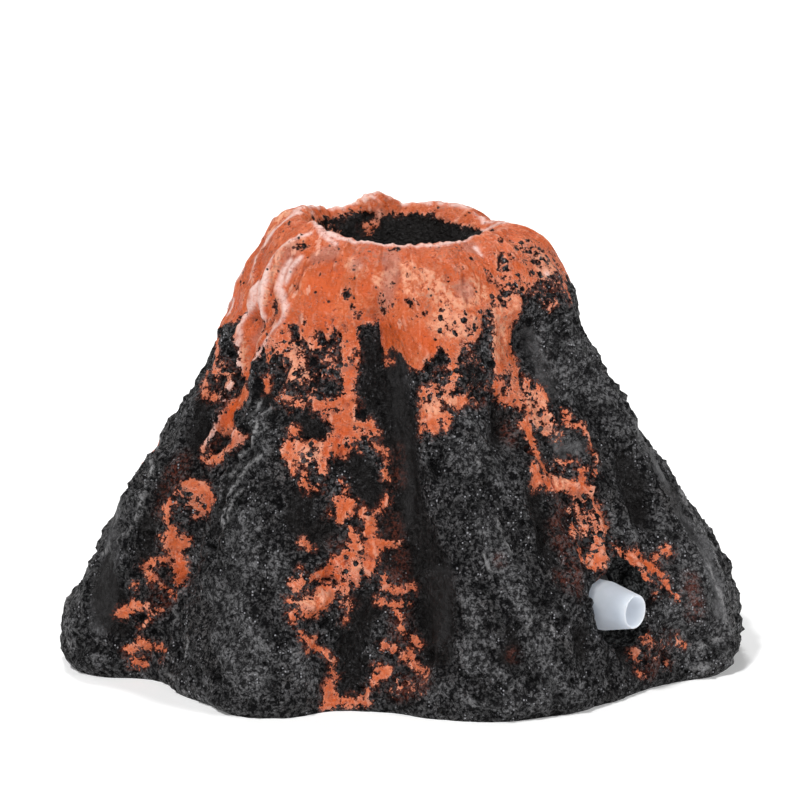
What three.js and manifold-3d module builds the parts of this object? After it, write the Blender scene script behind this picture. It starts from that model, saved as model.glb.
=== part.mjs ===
// Bubbling volcano ornament for a tank or pond.
// Millimetres. +Z up, +X to the right, -Y towards the viewer. The origin is
// under the middle of the footprint, on the ground.
//
// A hollow resin volcano, open underneath, carries an air line: a push-on
// nozzle in a rubber grommet in the right front flank, a soft hose, a barbed
// stem and a sintered air stone that sits in a holder under the crater.
//
// Every piece is built about the crater axis. Angles are in degrees from +X
// towards the front, so 90 is the front, 180 the left and 270 the back.

import * as THREE from "three";
import { mergeVertices } from "three/addons/utils/BufferGeometryUtils.js";
import Module from "manifold-3d";

const wasm = await Module();
wasm.setup();

const { clamp, degToRad, smoothstep } = THREE.MathUtils;

// ------------------------------------------------------------------ placement
// Where the crater axis stands, measured from the middle of the footprint.
const AXIS_X = -0.862;
const AXIS_Y = -0.91;
const LEDGE_Z = 44; // ceiling of the cavity, which the holder hangs from
const THROAT_R = 9;

// ------------------------------------------------------------------ materials
const finish = (name, look) => new THREE.MeshStandardMaterial({ name, ...look });
const CAST_RESIN = finish("cast_resin", { color: 0x27272a, roughness: 0.6 });
const MILKY_PLASTIC = finish("milky_plastic", { color: 0xd3dbe2, roughness: 0.35 });
const BLACK_RUBBER = finish("black_rubber", { color: 0x17181a, roughness: 0.75 });
const CLEAR_SILICONE = finish("clear_silicone", { color: 0xb9c2c6, roughness: 0.4 });
const HOSE_PLASTIC = finish("hose_plastic", { color: 0xbfd0d4, roughness: 0.3 });
const STEM_PLASTIC = finish("stem_plastic", { color: 0x2d6f9e, roughness: 0.4 });
const SINTERED_STONE = finish("sintered_stone", { color: 0x8d9496, roughness: 0.95 });
const HOLDER_PLASTIC = finish("holder_plastic", { color: 0x232427, roughness: 0.5 });
const HOT_GLUE = finish("hot_glue", { color: 0xd9cfae, roughness: 0.35 });

// ------------------------------------------------------------ general helpers
// A point at an angle about a vertical axis that stands at centreX.
function polar(radius, angle, z, centreX = 0) {
  const turn = degToRad(angle);
  return new THREE.Vector3(centreX + radius * Math.cos(turn), -radius * Math.sin(turn), z);
}

// A ring of points, from a function of the angle.
const ring = (count, pointAt) =>
  Array.from({ length: count }, (_, i) => pointAt((i * 360) / count));

// A body turned about +Z from [radius, height] points that start and end on the axis.
function turned(profile, sides) {
  const points = profile.map(([radius, z]) => new THREE.Vector2(radius, z));
  return new THREE.LatheGeometry(points, sides).rotateX(Math.PI / 2);
}

// A body turned from a profile that stands off the axis or closes along it.
const turnedLoop = (profile, sides) => turned([...profile, profile[0]], sides);

// A solid plug about +Z, straight or tapered.
const plug = (low, high, lowR, highR = lowR) =>
  turned([[0, low], [lowR, low], [highR, high], [0, high]], 40);

// Closes a stack of rings into one body, with a fan at each end.
function stacked(rings) {
  const count = rings[0].length;
  const points = rings.flat();
  const index = [];
  for (let i = 0; i + 1 < rings.length; i++) {
    for (let j = 0; j < count; j++) {
      const here = i * count + j;
      const next = i * count + ((j + 1) % count);
      index.push(here, next + count, next, here, here + count, next + count);
    }
  }
  const cap = (row, isFirst) => {
    const centre = new THREE.Vector3();
    for (const point of rings[row]) centre.add(point);
    const hub = points.push(centre.divideScalar(count)) - 1;
    for (let j = 0; j < count; j++) {
      const here = row * count + j;
      const next = row * count + ((j + 1) % count);
      index.push(hub, ...(isFirst ? [here, next] : [next, here]));
    }
  };
  cap(0, true);
  cap(rings.length - 1, false);
  const coordinates = points.flatMap((point) => point.toArray());
  const geometry = new THREE.BufferGeometry();
  geometry.setAttribute("position", new THREE.Float32BufferAttribute(coordinates, 3));
  geometry.setIndex(index);
  return geometry;
}

// Only positions are kept, so that vertices along a seam merge.
function toSolid(geometry) {
  for (const key of Object.keys(geometry.attributes)) {
    if (key !== "position") geometry.deleteAttribute(key);
  }
  const merged = mergeVertices(geometry, 1e-4);
  return new wasm.Manifold(
    new wasm.Mesh({
      numProp: 3,
      vertProperties: new Float32Array(merged.attributes.position.array),
      triVerts: new Uint32Array(merged.index.array),
    }),
  );
}

function toGeometry(body) {
  const mesh = body.getMesh();
  const geometry = new THREE.BufferGeometry();
  geometry.setAttribute("position", new THREE.Float32BufferAttribute(mesh.vertProperties, 3));
  geometry.setIndex(new THREE.Uint32BufferAttribute(mesh.triVerts, 1));
  geometry.computeVertexNormals();
  return geometry;
}

// ------------------------------------------------------------ volcano surface
// Section from the foot, up the flank, over the rim and down the crater. An
// index into it, whole or not, is called a station. Columns: radius, height,
// how much the flank outline shapes it, how much RIM_RISE lifts it.
const SECTION = [
  [49.2, 0, 1, 0], [50.3, 1.3, 1, 0], [50.4, 4, 1, 0], [50, 6.8, 1, 0],
  [49.2, 9.7, 1, 0], [47.8, 12.7, 1, 0], [46.2, 15.8, 1, 0], [44.4, 18.8, 1, 0],
  [42.4, 21.8, 1, 0], [40.8, 24.9, 1, 0], [38.9, 27.9, 1, 0], [36.8, 30.9, 1, 0],
  [34.9, 33.9, 1, 0], [33, 36.9, 1, 0], [31, 39.9, 1, 0], [29.1, 42.9, 1, 0],
  [27.5, 45.9, 1, 0.1], [26.2, 48.8, 1, 0.2], [25.1, 51.8, 1, 0.3], [24.8, 54.8, 1, 0.45],
  [23.9, 57, 1, 0.6], [22.9, 59.2, 1, 0.75], [21.7, 61.2, 1, 0.9], [20.2, 63, 1, 1],
  [17.6, 64.5, 0.85, 1], [15.2, 65, 0.6, 1], [13.2, 64.3, 0.25, 1], [12.1, 62.8, 0.05, 0.9],
  [11.5, 60.6, 0, 0.6], [10.9, 57.5, 0, 0.3], [10.3, 54.2, 0, 0.1], [9.7, 50.6, 0, 0],
  [9.2, 47.6, 0, 0], [THROAT_R, LEDGE_Z, 0, 0],
];
const LAST_STATION = SECTION.length - 1;

// Outline of the foot as a factor on the section radius, every 5 degrees.
const FOOT_OUTLINE = [
  0.995, 0.986, 0.971, 0.942, 0.878, 0.831, 0.810, 0.803, 0.805, 0.797, 0.802, 0.801,
  0.790, 0.780, 0.774, 0.754, 0.729, 0.703, 0.668, 0.647, 0.643, 0.653, 0.684, 0.753,
  0.789, 0.806, 0.794, 0.787, 0.788, 0.791, 0.783, 0.774, 0.817, 0.927, 0.974, 0.992,
  0.998, 0.982, 0.964, 0.942, 0.920, 0.892, 0.860, 0.822, 0.791, 0.769, 0.776, 0.791,
  0.810, 0.819, 0.819, 0.799, 0.771, 0.741, 0.726, 0.725, 0.752, 0.782, 0.810, 0.829,
  0.838, 0.829, 0.816, 0.804, 0.810, 0.828, 0.859, 0.895, 0.932, 0.958, 0.982, 0.990,
];
// Outline of the upper cone as a factor, every 15 degrees.
const CONE_OUTLINE = [
  1.000, 1.000, 0.950, 0.900, 0.865, 0.850, 0.830, 0.840, 0.860, 0.880, 0.920, 0.962,
  0.975, 0.965, 0.935, 0.890, 0.850, 0.840, 0.830, 0.830, 0.860, 0.900, 0.940, 0.980,
];
// Outline of the crater mouth as a factor, every 15 degrees.
const MOUTH_OUTLINE = [
  1.03, 1.02, 0.98, 0.94, 0.92, 0.90, 0.89, 0.90, 0.92, 0.95, 0.99, 1.02,
  1.02, 1.00, 0.97, 0.93, 0.91, 0.90, 0.91, 0.92, 0.95, 0.98, 1.00, 1.03,
];
// Rise and fall of the rim, every 15 degrees.
const RIM_RISE = [
  -0.50, -0.50, -0.70, -0.90, -1.10, -1.20, -1.30, -1.20, -1.00, -0.30, 0.40, 0.80,
  0.90, 0.80, 0.50, -0.40, 0.30, 1.40, 0.20, -0.20, 0.10, -0.70, -1.50, -1.40,
];
const CONE_BLEND = [4, 52]; // heights over which the foot outline becomes the cone's
const MOUTH_BLEND = [46, 60]; // heights over which the throat takes the mouth's outline

// The flanks are centred a little to the right of the crater axis, and shift
// further at two heights: [height, half-height, shift towards +X].
const FLANK_CENTRE_X = 0.9;
const FLANK_SHIFTS = [[15, 6, 0.9], [27, 6, -0.6]];

// Sculpted ridges (+) and grooves (-): height, half-width, and the path as
// [angle, station] points.
const STROKES = [
  // main groove, front
  [-2.4, 3.2, [[102.6, 19.22], [97.4, 17.14], [92.5, 13.9], [89.1, 10.79], [88.5, 8.11],
    [89.3, 5.4], [89, 2.81]]],
  // lobes right and left of it
  [1.5, 8, [[75.7, 15.23], [74.3, 11.72], [70.7, 8.2], [69, 4.68], [66.6, 2.24]]],
  [1.6, 6, [[137.9, 17.36], [139.3, 14.3], [134.6, 11.23], [132.5, 7.7], [128.1, 4.28],
    [125.2, 1.7]]],
  // left crease, fold and far left lobe
  [-2.2, 2.6, [[156.8, 17.84], [155.6, 14.35], [148.4, 10.36], [152, 7.65], [154, 4.95],
    [148.3, 2.55]]],
  [1, 2.6, [[163.6, 17.43], [160.9, 14.19], [158.5, 10.94], [158.7, 8.09], [158.4, 4.76]]],
  [1.2, 6, [[167.2, 16.36], [167, 12.08], [165.8, 7.35], [166.2, 3.46], [166.7, 1.32]]],
  // lava channel
  [-1.3, 5, [[113, 18], [108.6, 15.18], [107.5, 11.61], [105.8, 7.98], [108.4, 4.8],
    [104.7, 1.82]]],
  // right groove, lobe and crease
  [-1.8, 4, [[39.9, 17.87], [42.1, 14.36], [41.4, 11.62], [38.1, 8.78], [41.2, 5.7],
    [37.8, 2.94]]],
  [1.2, 7, [[19.4, 18.13], [17, 14.15], [14.7, 9.77], [16.1, 5.55], [14.2, 2.46]]],
  [-1, 2.5, [[25.4, 14.41], [23.1, 11.04], [21, 8.14], [21.2, 4.84], [20.3, 1.74]]],
  // drips round the front
  [0.8, 1.9, [[126.3, 23.92], [131.9, 21.5], [136.6, 18.96], [140.1, 17.31]]],
  [0.9, 2, [[150.5, 24.43], [152.3, 21.53], [155.4, 18.74], [158.4, 17.29]]],
  [0.8, 2, [[103.6, 23.15], [106.1, 20.93], [108, 18.73]]],
  [0.8, 2, [[85.9, 23.22], [86.6, 20.48], [84.6, 17.62], [82.8, 15.99]]],
  [0.7, 2.2, [[65.6, 23.34], [64.2, 20.31], [64.2, 17.98], [70.9, 15.95]]],
  [0.8, 2, [[34.3, 24.16], [38.2, 21.68], [42.1, 19.32]]],
  [0.7, 2, [[21.2, 23.29], [21.7, 21.15], [22.8, 18.71]]],
  // two hollows, front right
  [-1.3, 4, [[57.5, 14.84], [58.5, 13.97]]],
  [-0.9, 3, [[38.6, 17.61], [40.9, 17.08]]],
  // left and right shoulders
  [-0.8, 4, [[176, 20], [172, 21.6], [186, 21.8]]],
  [-0.8, 4, [[352, 17.6], [4, 17.4], [14, 17.8]]],
  // back groove, and the lobes left and right of it
  [-2.2, 3.2, [[266, 19], [270, 16], [272, 12], [271, 8], [270, 4], [271, 2]]],
  [1.4, 7, [[250, 17], [248, 13.3], [246, 8.7], [246, 3.3]]],
  [1.5, 8, [[296, 16.6], [300, 12.6], [302, 8], [303, 2.7]]],
  // back left groove and left rear lobe
  [-1.6, 3.2, [[232, 18.6], [229, 14.6], [226, 10.7], [225, 6], [225, 2]]],
  [1, 6, [[208, 17.3], [205, 12.6], [202, 7.3], [200, 2.3]]],
  // back right groove and right rear lobe
  [-1.7, 3.6, [[318, 18], [320, 14], [322, 10], [321, 5.3], [322, 2]]],
  [1, 6, [[338, 16.6], [342, 12], [345, 6.7], [346, 2.3]]],
  // drips round the back and sides
  [0.8, 2, [[250, 24], [248, 20.5], [246, 17.7]]],
  [0.8, 2, [[285, 24], [287, 20], [286, 17]]],
  [0.7, 2, [[310, 24], [312, 20], [314, 17.3]]],
  [0.7, 2, [[215, 24], [213, 20.5], [212, 17.7]]],
  [0.7, 2.2, [[340, 24], [341, 20.5], [345, 17.7]]],
  [0.8, 2.2, [[186, 24], [184, 20.5], [181, 17.3]]],
];
const SCULPT_FADE = [26, 29]; // stations over which the sculpting dies out in the crater
const FOOT_FADE = [0, 3]; // stations over which it starts to move points up or down
const LOWEST_Z = 0.05; // of any point above the foot ring

// Catmull-Rom between the middle two of four values.
const spline = ([before, from, to, after], t) =>
  0.5 *
  (2 * from +
    (to - before) * t +
    (2 * before - 5 * from + 4 * to - after) * t * t +
    (-before + 3 * from - 3 * to + after) * t * t * t);

// A closed table read at an angle.
function around(table, angle) {
  const count = table.length;
  const place = ((((angle % 360) + 360) % 360) * count) / 360;
  const start = Math.floor(place);
  const values = [-1, 0, 1, 2].map((k) => table[(start + k + count) % count]);
  return spline(values, place - start);
}

// The four columns of SECTION read at a station.
function section(station) {
  const start = clamp(Math.floor(station), 0, LAST_STATION - 1);
  const rows = [-1, 0, 1, 2].map((k) => SECTION[clamp(start + k, 0, LAST_STATION)]);
  const [radius, z, flank, rim] = [0, 1, 2, 3].map((column) =>
    spline(rows.map((row) => row[column]), station - start),
  );
  return [radius, z, clamp(flank, 0, 1), clamp(rim, 0, 1)];
}

function flankOutline(angle, z) {
  const cone = smoothstep(z, ...CONE_BLEND);
  return around(FOOT_OUTLINE, angle) * (1 - cone) + around(CONE_OUTLINE, angle) * cone;
}

function flankCentre(z) {
  let x = FLANK_CENTRE_X;
  for (const [height, half, shift] of FLANK_SHIFTS) {
    x += shift * Math.exp(-(((z - height) / half) ** 2));
  }
  return x;
}

// A point of the unsculpted surface.
function plainPoint(angle, station) {
  const [radius, z, flank, rim] = section(station);
  const mouth = 1 + (around(MOUTH_OUTLINE, angle) - 1) * smoothstep(z, ...MOUTH_BLEND);
  const factor = flankOutline(angle, z) * flank + mouth * (1 - flank);
  return polar(radius * factor, angle, z + around(RIM_RISE, angle) * rim, flankCentre(z) * flank);
}

function plainNormal(angle, station) {
  const stationStep = 0.02;
  const angleStep = 0.5;
  const above = plainPoint(angle, Math.min(station + stationStep, LAST_STATION));
  const along = above.sub(plainPoint(angle, Math.max(station - stationStep, 0)));
  const across = plainPoint(angle + angleStep, station).sub(plainPoint(angle - angleStep, station));
  return along.cross(across).normalize();
}

// The strokes as runs of straight lines in space.
const strokes = STROKES.map(([height, halfWidth, path]) => {
  const points = path.map(([angle, station]) => plainPoint(angle, station));
  const lines = points.slice(1).map((point, i) => new THREE.Line3(points[i], point));
  return { height, halfWidth, lines };
});

// How far the strokes push a point out.
function sculptHeight(point) {
  const nearest = new THREE.Vector3();
  let total = 0;
  for (const { height, halfWidth, lines } of strokes) {
    const distances = lines.map((line) =>
      line.closestPointToPoint(point, true, nearest).distanceToSquared(point),
    );
    total += height * Math.exp(-Math.min(...distances) / (halfWidth * halfWidth));
  }
  return total;
}

function surfacePoint(angle, station) {
  const point = plainPoint(angle, station);
  const normal = plainNormal(angle, station);
  const push = sculptHeight(point) * (1 - smoothstep(station, ...SCULPT_FADE));
  const z = point.z + normal.z * push * smoothstep(station, ...FOOT_FADE);
  point.addScaledVector(normal, push);
  point.z = station === 0 ? 0 : Math.max(LOWEST_Z, z);
  return point;
}

// ------------------------------------------------------------------ air inlet
// The nozzle's axis is level and crosses the flank here. Inlet pieces are made
// along +Z, with 0 at the flank and + outwards, and then laid along the axis.
const INLET = new THREE.Vector3(31.6, -23.6, 13.2);
const INLET_BEARING = 40;
const INLET_OUT = polar(1, INLET_BEARING, 0);

const RECESS_R = 6.1;
const RECESS_FLOOR = -4.8;
const RECESS_END = 9; // clear of the flank
const RECESS_RISE = 0.85; // the recess is cast a little high on the nozzle
const INLET_BORE_R = 5.35;
const INLET_BORE_END = -16;
const BOSS_R = 9.6;
const BOSS_FLARE = 0.6;
const BOSS_FACE = -9.2; // the boss's inner face
const BOSS_LENGTH = 5.2;

const GROMMET_R = 5.1;
const GROMMET_BORE_R = 3.8;
const GROMMET_EDGE = 0.4; // chamfers
const GROMMET_OUTER_END = RECESS_FLOOR - 0.2;
const GROMMET_FLANGE_R = 7.6;
const GROMMET_FLANGE = 1.5;
const GROMMET_FLANGE_FACE = BOSS_FACE - 0.3;

const SEALANT_R = GROMMET_FLANGE_R + 0.95; // from the inlet axis to the bead's middle
const SEALANT_OUT = BOSS_FACE - 0.95;
const SEALANT_HALF_WIDTH = 0.75;
const SEALANT_HALF_HEIGHT = 0.65;
const SEALANT_POINTS = 12;

// Barbs that push into the hose, on the nozzle and on the stem.
const BARB_R = 1.98;
const BARB_INSET = 0.5; // how much slimmer the barb's leading end is
const BARB_TAPER = 1.9; // length from that end to the full radius
const BARB_END = BARB_TAPER + 0.3; // behind the barb

const NOZZLE_TIP = 2.9; // how far the tip stands out past the flank
const NOZZLE_TIP_R = 2.5;
const NOZZLE_ROOT_R = 3.55;
const NOZZLE_TAPER = 5.1; // from the tip to the full root radius
const NOZZLE_BORE_R = 1.6;
const NOZZLE_LENGTH = 22;
const NOZZLE_END = NOZZLE_TIP - NOZZLE_LENGTH;
const NOZZLE_SHOULDER = BOSS_FACE - GROMMET_FLANGE - 0.9;
const NOZZLE_BARB_BORE_R = BARB_R - 0.85;

function alongInlet(geometry, rise = 0) {
  const up = new THREE.Vector3(0, 0, 1);
  const side = new THREE.Vector3().crossVectors(up, INLET_OUT);
  const placing = new THREE.Matrix4().makeBasis(side, up, INLET_OUT);
  placing.setPosition(INLET.clone().addScaledVector(up, rise));
  return geometry.applyMatrix4(placing);
}

function inletGrommet() {
  const flangeBack = GROMMET_FLANGE_FACE - GROMMET_FLANGE;
  const profile = [
    [GROMMET_BORE_R, GROMMET_OUTER_END],
    [GROMMET_BORE_R, flangeBack],
    [GROMMET_FLANGE_R - GROMMET_EDGE, flangeBack],
    [GROMMET_FLANGE_R, GROMMET_FLANGE_FACE - GROMMET_EDGE],
    [GROMMET_FLANGE_R, GROMMET_FLANGE_FACE],
    [GROMMET_R, GROMMET_FLANGE_FACE],
    [GROMMET_R, GROMMET_OUTER_END - GROMMET_EDGE],
    [GROMMET_R - GROMMET_EDGE, GROMMET_OUTER_END],
  ];
  return alongInlet(turnedLoop(profile, 36));
}

// A bead of sealant round the grommet's flange.
function inletSealant() {
  const profile = Array.from({ length: SEALANT_POINTS }, (_, i) => {
    const turn = (i / SEALANT_POINTS) * Math.PI * 2;
    return [
      SEALANT_R + SEALANT_HALF_WIDTH * Math.cos(turn),
      SEALANT_OUT + SEALANT_HALF_HEIGHT * Math.sin(turn),
    ];
  });
  return alongInlet(turnedLoop(profile, 36));
}

function inletNozzle() {
  const profile = [
    // down the bore
    [NOZZLE_BORE_R, NOZZLE_TIP - 1.2],
    [NOZZLE_BORE_R, BOSS_FACE + 1.5],
    [NOZZLE_BARB_BORE_R, BOSS_FACE],
    [NOZZLE_BARB_BORE_R, NOZZLE_END],
    // back along the barb
    [BARB_R - BARB_INSET, NOZZLE_END],
    [BARB_R, NOZZLE_END + BARB_TAPER],
    [BARB_R - 0.15, NOZZLE_END + BARB_END],
    [BARB_R, NOZZLE_SHOULDER],
    // root and tip
    [NOZZLE_ROOT_R, NOZZLE_SHOULDER],
    [NOZZLE_ROOT_R, NOZZLE_TIP - NOZZLE_TAPER],
    [NOZZLE_TIP_R, NOZZLE_TIP - 0.25],
    [NOZZLE_TIP_R - 0.18, NOZZLE_TIP],
    [NOZZLE_BORE_R + 0.45, NOZZLE_TIP],
  ];
  return alongInlet(turnedLoop(profile, 32));
}

// -------------------------------------------------------------- volcano shell
const OUTSIDE_COLUMNS = 84;
// Stations of the rows of the outside.
const OUTSIDE_ROWS = [
  0, 1, 2.5, 4, 5.5, 7, 8.5, 10, 11.5, 13, 14.5, 16, 17,
  18, 19.2, 20.4, 21.4, 22.3, 23.2, 24, 25, 26, 27, 28.5, 30.5, 33,
];
const THROAT_OVERLAP = 1.2; // how far the throat is cut below the ledge

const WALL = 6; // measured level, flank to cavity
const CAVITY_COLUMNS = 48;
// Height, wall multiple.
const CAVITY = [
  [-1, 1], [5, 1], [11, 1], [17, 1], [23, 1], [29, 1], [35, 1],
  [39.5, 1.05], [42.4, 1.15], [LEDGE_Z, 1.4],
];

// The station of the flank at a height, by halving.
function flankStation(z) {
  let low = 0;
  let high = 19;
  for (let i = 0; i < 30; i++) {
    const middle = (low + high) / 2;
    if (section(middle)[1] < z) low = middle;
    else high = middle;
  }
  return low;
}

function outside() {
  const rows = OUTSIDE_ROWS.map((station) =>
    ring(OUTSIDE_COLUMNS, (angle) => surfacePoint(angle, station)),
  );
  const throatZ = LEDGE_Z - THROAT_OVERLAP;
  rows.push(ring(OUTSIDE_COLUMNS, (angle) => polar(THROAT_R, angle, throatZ)));
  return stacked(rows);
}

function cavity() {
  const rows = CAVITY.map(([z, wallMultiple]) => {
    const flankZ = Math.max(z, 0);
    const [flankR] = section(flankStation(flankZ));
    return ring(CAVITY_COLUMNS, (angle) => {
      const radius = flankR * flankOutline(angle, flankZ) - WALL * wallMultiple;
      return polar(radius, angle, z, flankCentre(flankZ));
    });
  });
  return stacked(rows);
}

function volcanoShell() {
  const skin = toSolid(outside());
  const boss = plug(BOSS_FACE, BOSS_FACE + BOSS_LENGTH, BOSS_R, BOSS_R + BOSS_FLARE);
  const recess = plug(RECESS_FLOOR, RECESS_END, RECESS_R);
  const bore = plug(INLET_BORE_END, 0, INLET_BORE_R);
  const shell = skin
    .subtract(toSolid(cavity()))
    .add(toSolid(alongInlet(boss)).intersect(skin)) // kept inside the outer skin
    .subtract(toSolid(alongInlet(recess, RECESS_RISE)))
    .subtract(toSolid(alongInlet(bore)));
  return toGeometry(shell);
}

// ------------------------------------------------------ stem, stone and holder
const HOLDER_R = 8.5;
const HOLDER_BORE_R = 7.3;
const HOLDER_HOLE_R = 3.4;
const HOLDER_FLOOR_Z = 32.6;
const HOLDER_FLOOR = 1.4;
const HOLDER_EDGE = 0.6; // chamfer
const HOLDER_TOP_Z = 47;
const HOLDER_FLANGE_R = 11.6;
const HOLDER_FLANGE_Z = 42.1;
const HOLDER_FLANGE_TOP_Z = LEDGE_Z - 0.3;

const STONE_R = 7;
const STONE_FOOT_Z = 34.3;
const STONE_TOP_Z = 49;
const STONE_EDGE = 0.8; // chamfer at the foot
const SOCKET_DEPTH = 6;

const STEM_R = BARB_R;
const STEM_BORE_R = 1.1;
const STEM_NECK_R = STEM_R - 0.2; // between the barbs and the collar
const STEM_FOOT_Z = 24.5;
const STEM_TOP_Z = STONE_FOOT_Z + 5.6;
const SECOND_BARB_Z = STEM_FOOT_Z + 3.2;
const COLLAR_R = STEM_R + 0.75;
const COLLAR_FOOT_Z = HOLDER_FLOOR_Z - 0.5;
const COLLAR_TOP_Z = STONE_FOOT_Z - 0.2;
const SOCKET_R = STEM_R + 0.15;

function stoneStem() {
  const profile = [
    [STEM_BORE_R, STEM_FOOT_Z],
    [STEM_R - BARB_INSET, STEM_FOOT_Z],
    [STEM_R, STEM_FOOT_Z + BARB_TAPER],
    [STEM_NECK_R, STEM_FOOT_Z + BARB_END],
    [STEM_NECK_R, SECOND_BARB_Z],
    [STEM_R, SECOND_BARB_Z + BARB_TAPER],
    [STEM_NECK_R, SECOND_BARB_Z + BARB_END],
    [STEM_NECK_R, COLLAR_FOOT_Z],
    [COLLAR_R, COLLAR_FOOT_Z],
    [COLLAR_R, COLLAR_TOP_Z],
    [STEM_R, COLLAR_TOP_Z],
    [STEM_R, STEM_TOP_Z],
    [STEM_BORE_R, STEM_TOP_Z],
  ];
  return turnedLoop(profile, 28);
}

function airStone() {
  const profile = [
    [SOCKET_R, STONE_FOOT_Z],
    [STONE_R - STONE_EDGE, STONE_FOOT_Z],
    [STONE_R, STONE_FOOT_Z + STONE_EDGE],
    [STONE_R, STONE_TOP_Z - 1.6],
    [STONE_R - 0.5, STONE_TOP_Z - 0.6],
    [STONE_R - 1.6, STONE_TOP_Z],
    [0, STONE_TOP_Z],
    [0, STONE_FOOT_Z + SOCKET_DEPTH],
    [SOCKET_R, STONE_FOOT_Z + SOCKET_DEPTH],
  ];
  return turnedLoop(profile, 36);
}

function stoneHolder() {
  const profile = [
    [HOLDER_HOLE_R, HOLDER_FLOOR_Z],
    [HOLDER_R - HOLDER_EDGE, HOLDER_FLOOR_Z],
    [HOLDER_R, HOLDER_FLOOR_Z + HOLDER_EDGE],
    [HOLDER_R, HOLDER_FLANGE_Z],
    [HOLDER_FLANGE_R, HOLDER_FLANGE_Z],
    [HOLDER_FLANGE_R, HOLDER_FLANGE_TOP_Z],
    [HOLDER_R, HOLDER_FLANGE_TOP_Z],
    [HOLDER_R, HOLDER_TOP_Z],
    [HOLDER_BORE_R, HOLDER_TOP_Z],
    [HOLDER_BORE_R, HOLDER_FLOOR_Z + HOLDER_FLOOR],
    [HOLDER_HOLE_R, HOLDER_FLOOR_Z + HOLDER_FLOOR],
  ];
  return turnedLoop(profile, 40);
}

// Three dabs of glue tie the holder's flange to the ceiling of the cavity.
const GLUE_BEARINGS = { front: 95, left: 215, right: 335 };
const GLUE_R = 2.5;
const GLUE_SQUASH = 0.55; // radial width over width along the flange
const GLUE_GAP = 0.25; // from the flange's edge, and down from the ledge

function glueDab(bearing) {
  const profile = [[0, -2.3], [1.3, -2.1], [2.2, -1.4], [GLUE_R, -0.5], [2.3, 0], [0, 0]];
  return turned(profile, 20)
    .scale(GLUE_SQUASH, 1, 1)
    .translate(HOLDER_FLANGE_R + GLUE_GAP + GLUE_R * GLUE_SQUASH, 0, LEDGE_Z - GLUE_GAP)
    .rotateZ(-degToRad(bearing));
}

// ----------------------------------------------------------------------- hose
const HOSE_R = 3.1;
const HOSE_BORE_R = 2.15;
const HOSE_STEPS = 22;
const HOSE_START = BOSS_FACE - GROMMET_FLANGE - 1.3; // along the inlet axis
const HOSE_BEND = NOZZLE_END - 0.6;
const HOSE_RISE_Z = STEM_FOOT_Z - 0.4; // straight up from here
const HOSE_TOP_Z = HOLDER_FLOOR_Z - 1.1;
const BEND_PULL_IN = 11; // reach of the bend's handles
const BEND_PULL_DOWN = 10.5;

// Straight in from the nozzle, round a bend and up the crater axis.
function hoseRoute() {
  const onInlet = (out) => INLET.clone().addScaledVector(INLET_OUT, out);
  const onAxis = (z) => new THREE.Vector3(0, 0, z);
  const bend = onInlet(HOSE_BEND);
  const rise = onAxis(HOSE_RISE_Z);
  const bendHandle = onInlet(HOSE_BEND - BEND_PULL_IN);
  const riseHandle = onAxis(HOSE_RISE_Z - BEND_PULL_DOWN);
  const route = new THREE.CurvePath();
  route.add(new THREE.LineCurve3(onInlet(HOSE_START), bend));
  route.add(new THREE.CubicBezierCurve3(bend, bendHandle, riseHandle, rise));
  route.add(new THREE.LineCurve3(rise, onAxis(HOSE_TOP_Z)));
  return route;
}

// A round rod along a path; overshoot lengthens it at both ends.
function sweep(path, radius, sides, overshoot = 0) {
  const { tangents, normals, binormals } = path.computeFrenetFrames(HOSE_STEPS, false);
  const rings = tangents.map((tangent, i) => {
    const centre = path.getPointAt(i / HOSE_STEPS);
    if (i === 0) centre.addScaledVector(tangent, -overshoot);
    if (i === HOSE_STEPS) centre.addScaledVector(tangent, overshoot);
    return ring(sides, (angle) => {
      const { x, y } = polar(radius, angle, 0);
      return centre.clone().addScaledVector(normals[i], x).addScaledVector(binormals[i], y);
    });
  });
  return stacked(rings);
}

function airHose() {
  const route = hoseRoute();
  const bore = toSolid(sweep(route, HOSE_BORE_R, 14, 0.5));
  return toGeometry(toSolid(sweep(route, HOSE_R, 16)).subtract(bore));
}

// ------------------------------------------------------------------- assembly
const group = new THREE.Group();
group.name = "bubbling_ornament";

function add(name, geometry, material) {
  const mesh = new THREE.Mesh(geometry, material);
  mesh.name = name;
  mesh.position.set(AXIS_X, AXIS_Y, 0);
  group.add(mesh);
}

add("volcano_shell", volcanoShell(), CAST_RESIN);
add("inlet_grommet", inletGrommet(), BLACK_RUBBER);
add("inlet_sealant", inletSealant(), CLEAR_SILICONE);
add("inlet_nozzle", inletNozzle(), MILKY_PLASTIC);
add("air_hose", airHose(), HOSE_PLASTIC);
add("stone_stem", stoneStem(), STEM_PLASTIC);
add("air_stone", airStone(), SINTERED_STONE);
add("stone_holder", stoneHolder(), HOLDER_PLASTIC);
for (const [side, bearing] of Object.entries(GLUE_BEARINGS)) {
  add(`holder_glue_${side}`, glueDab(bearing), HOT_GLUE);
}

export default group;
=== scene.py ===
import math
from itertools import product
from types import SimpleNamespace

import bmesh
import bpy
import numpy as np
from mathutils import Matrix, Vector, kdtree


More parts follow.
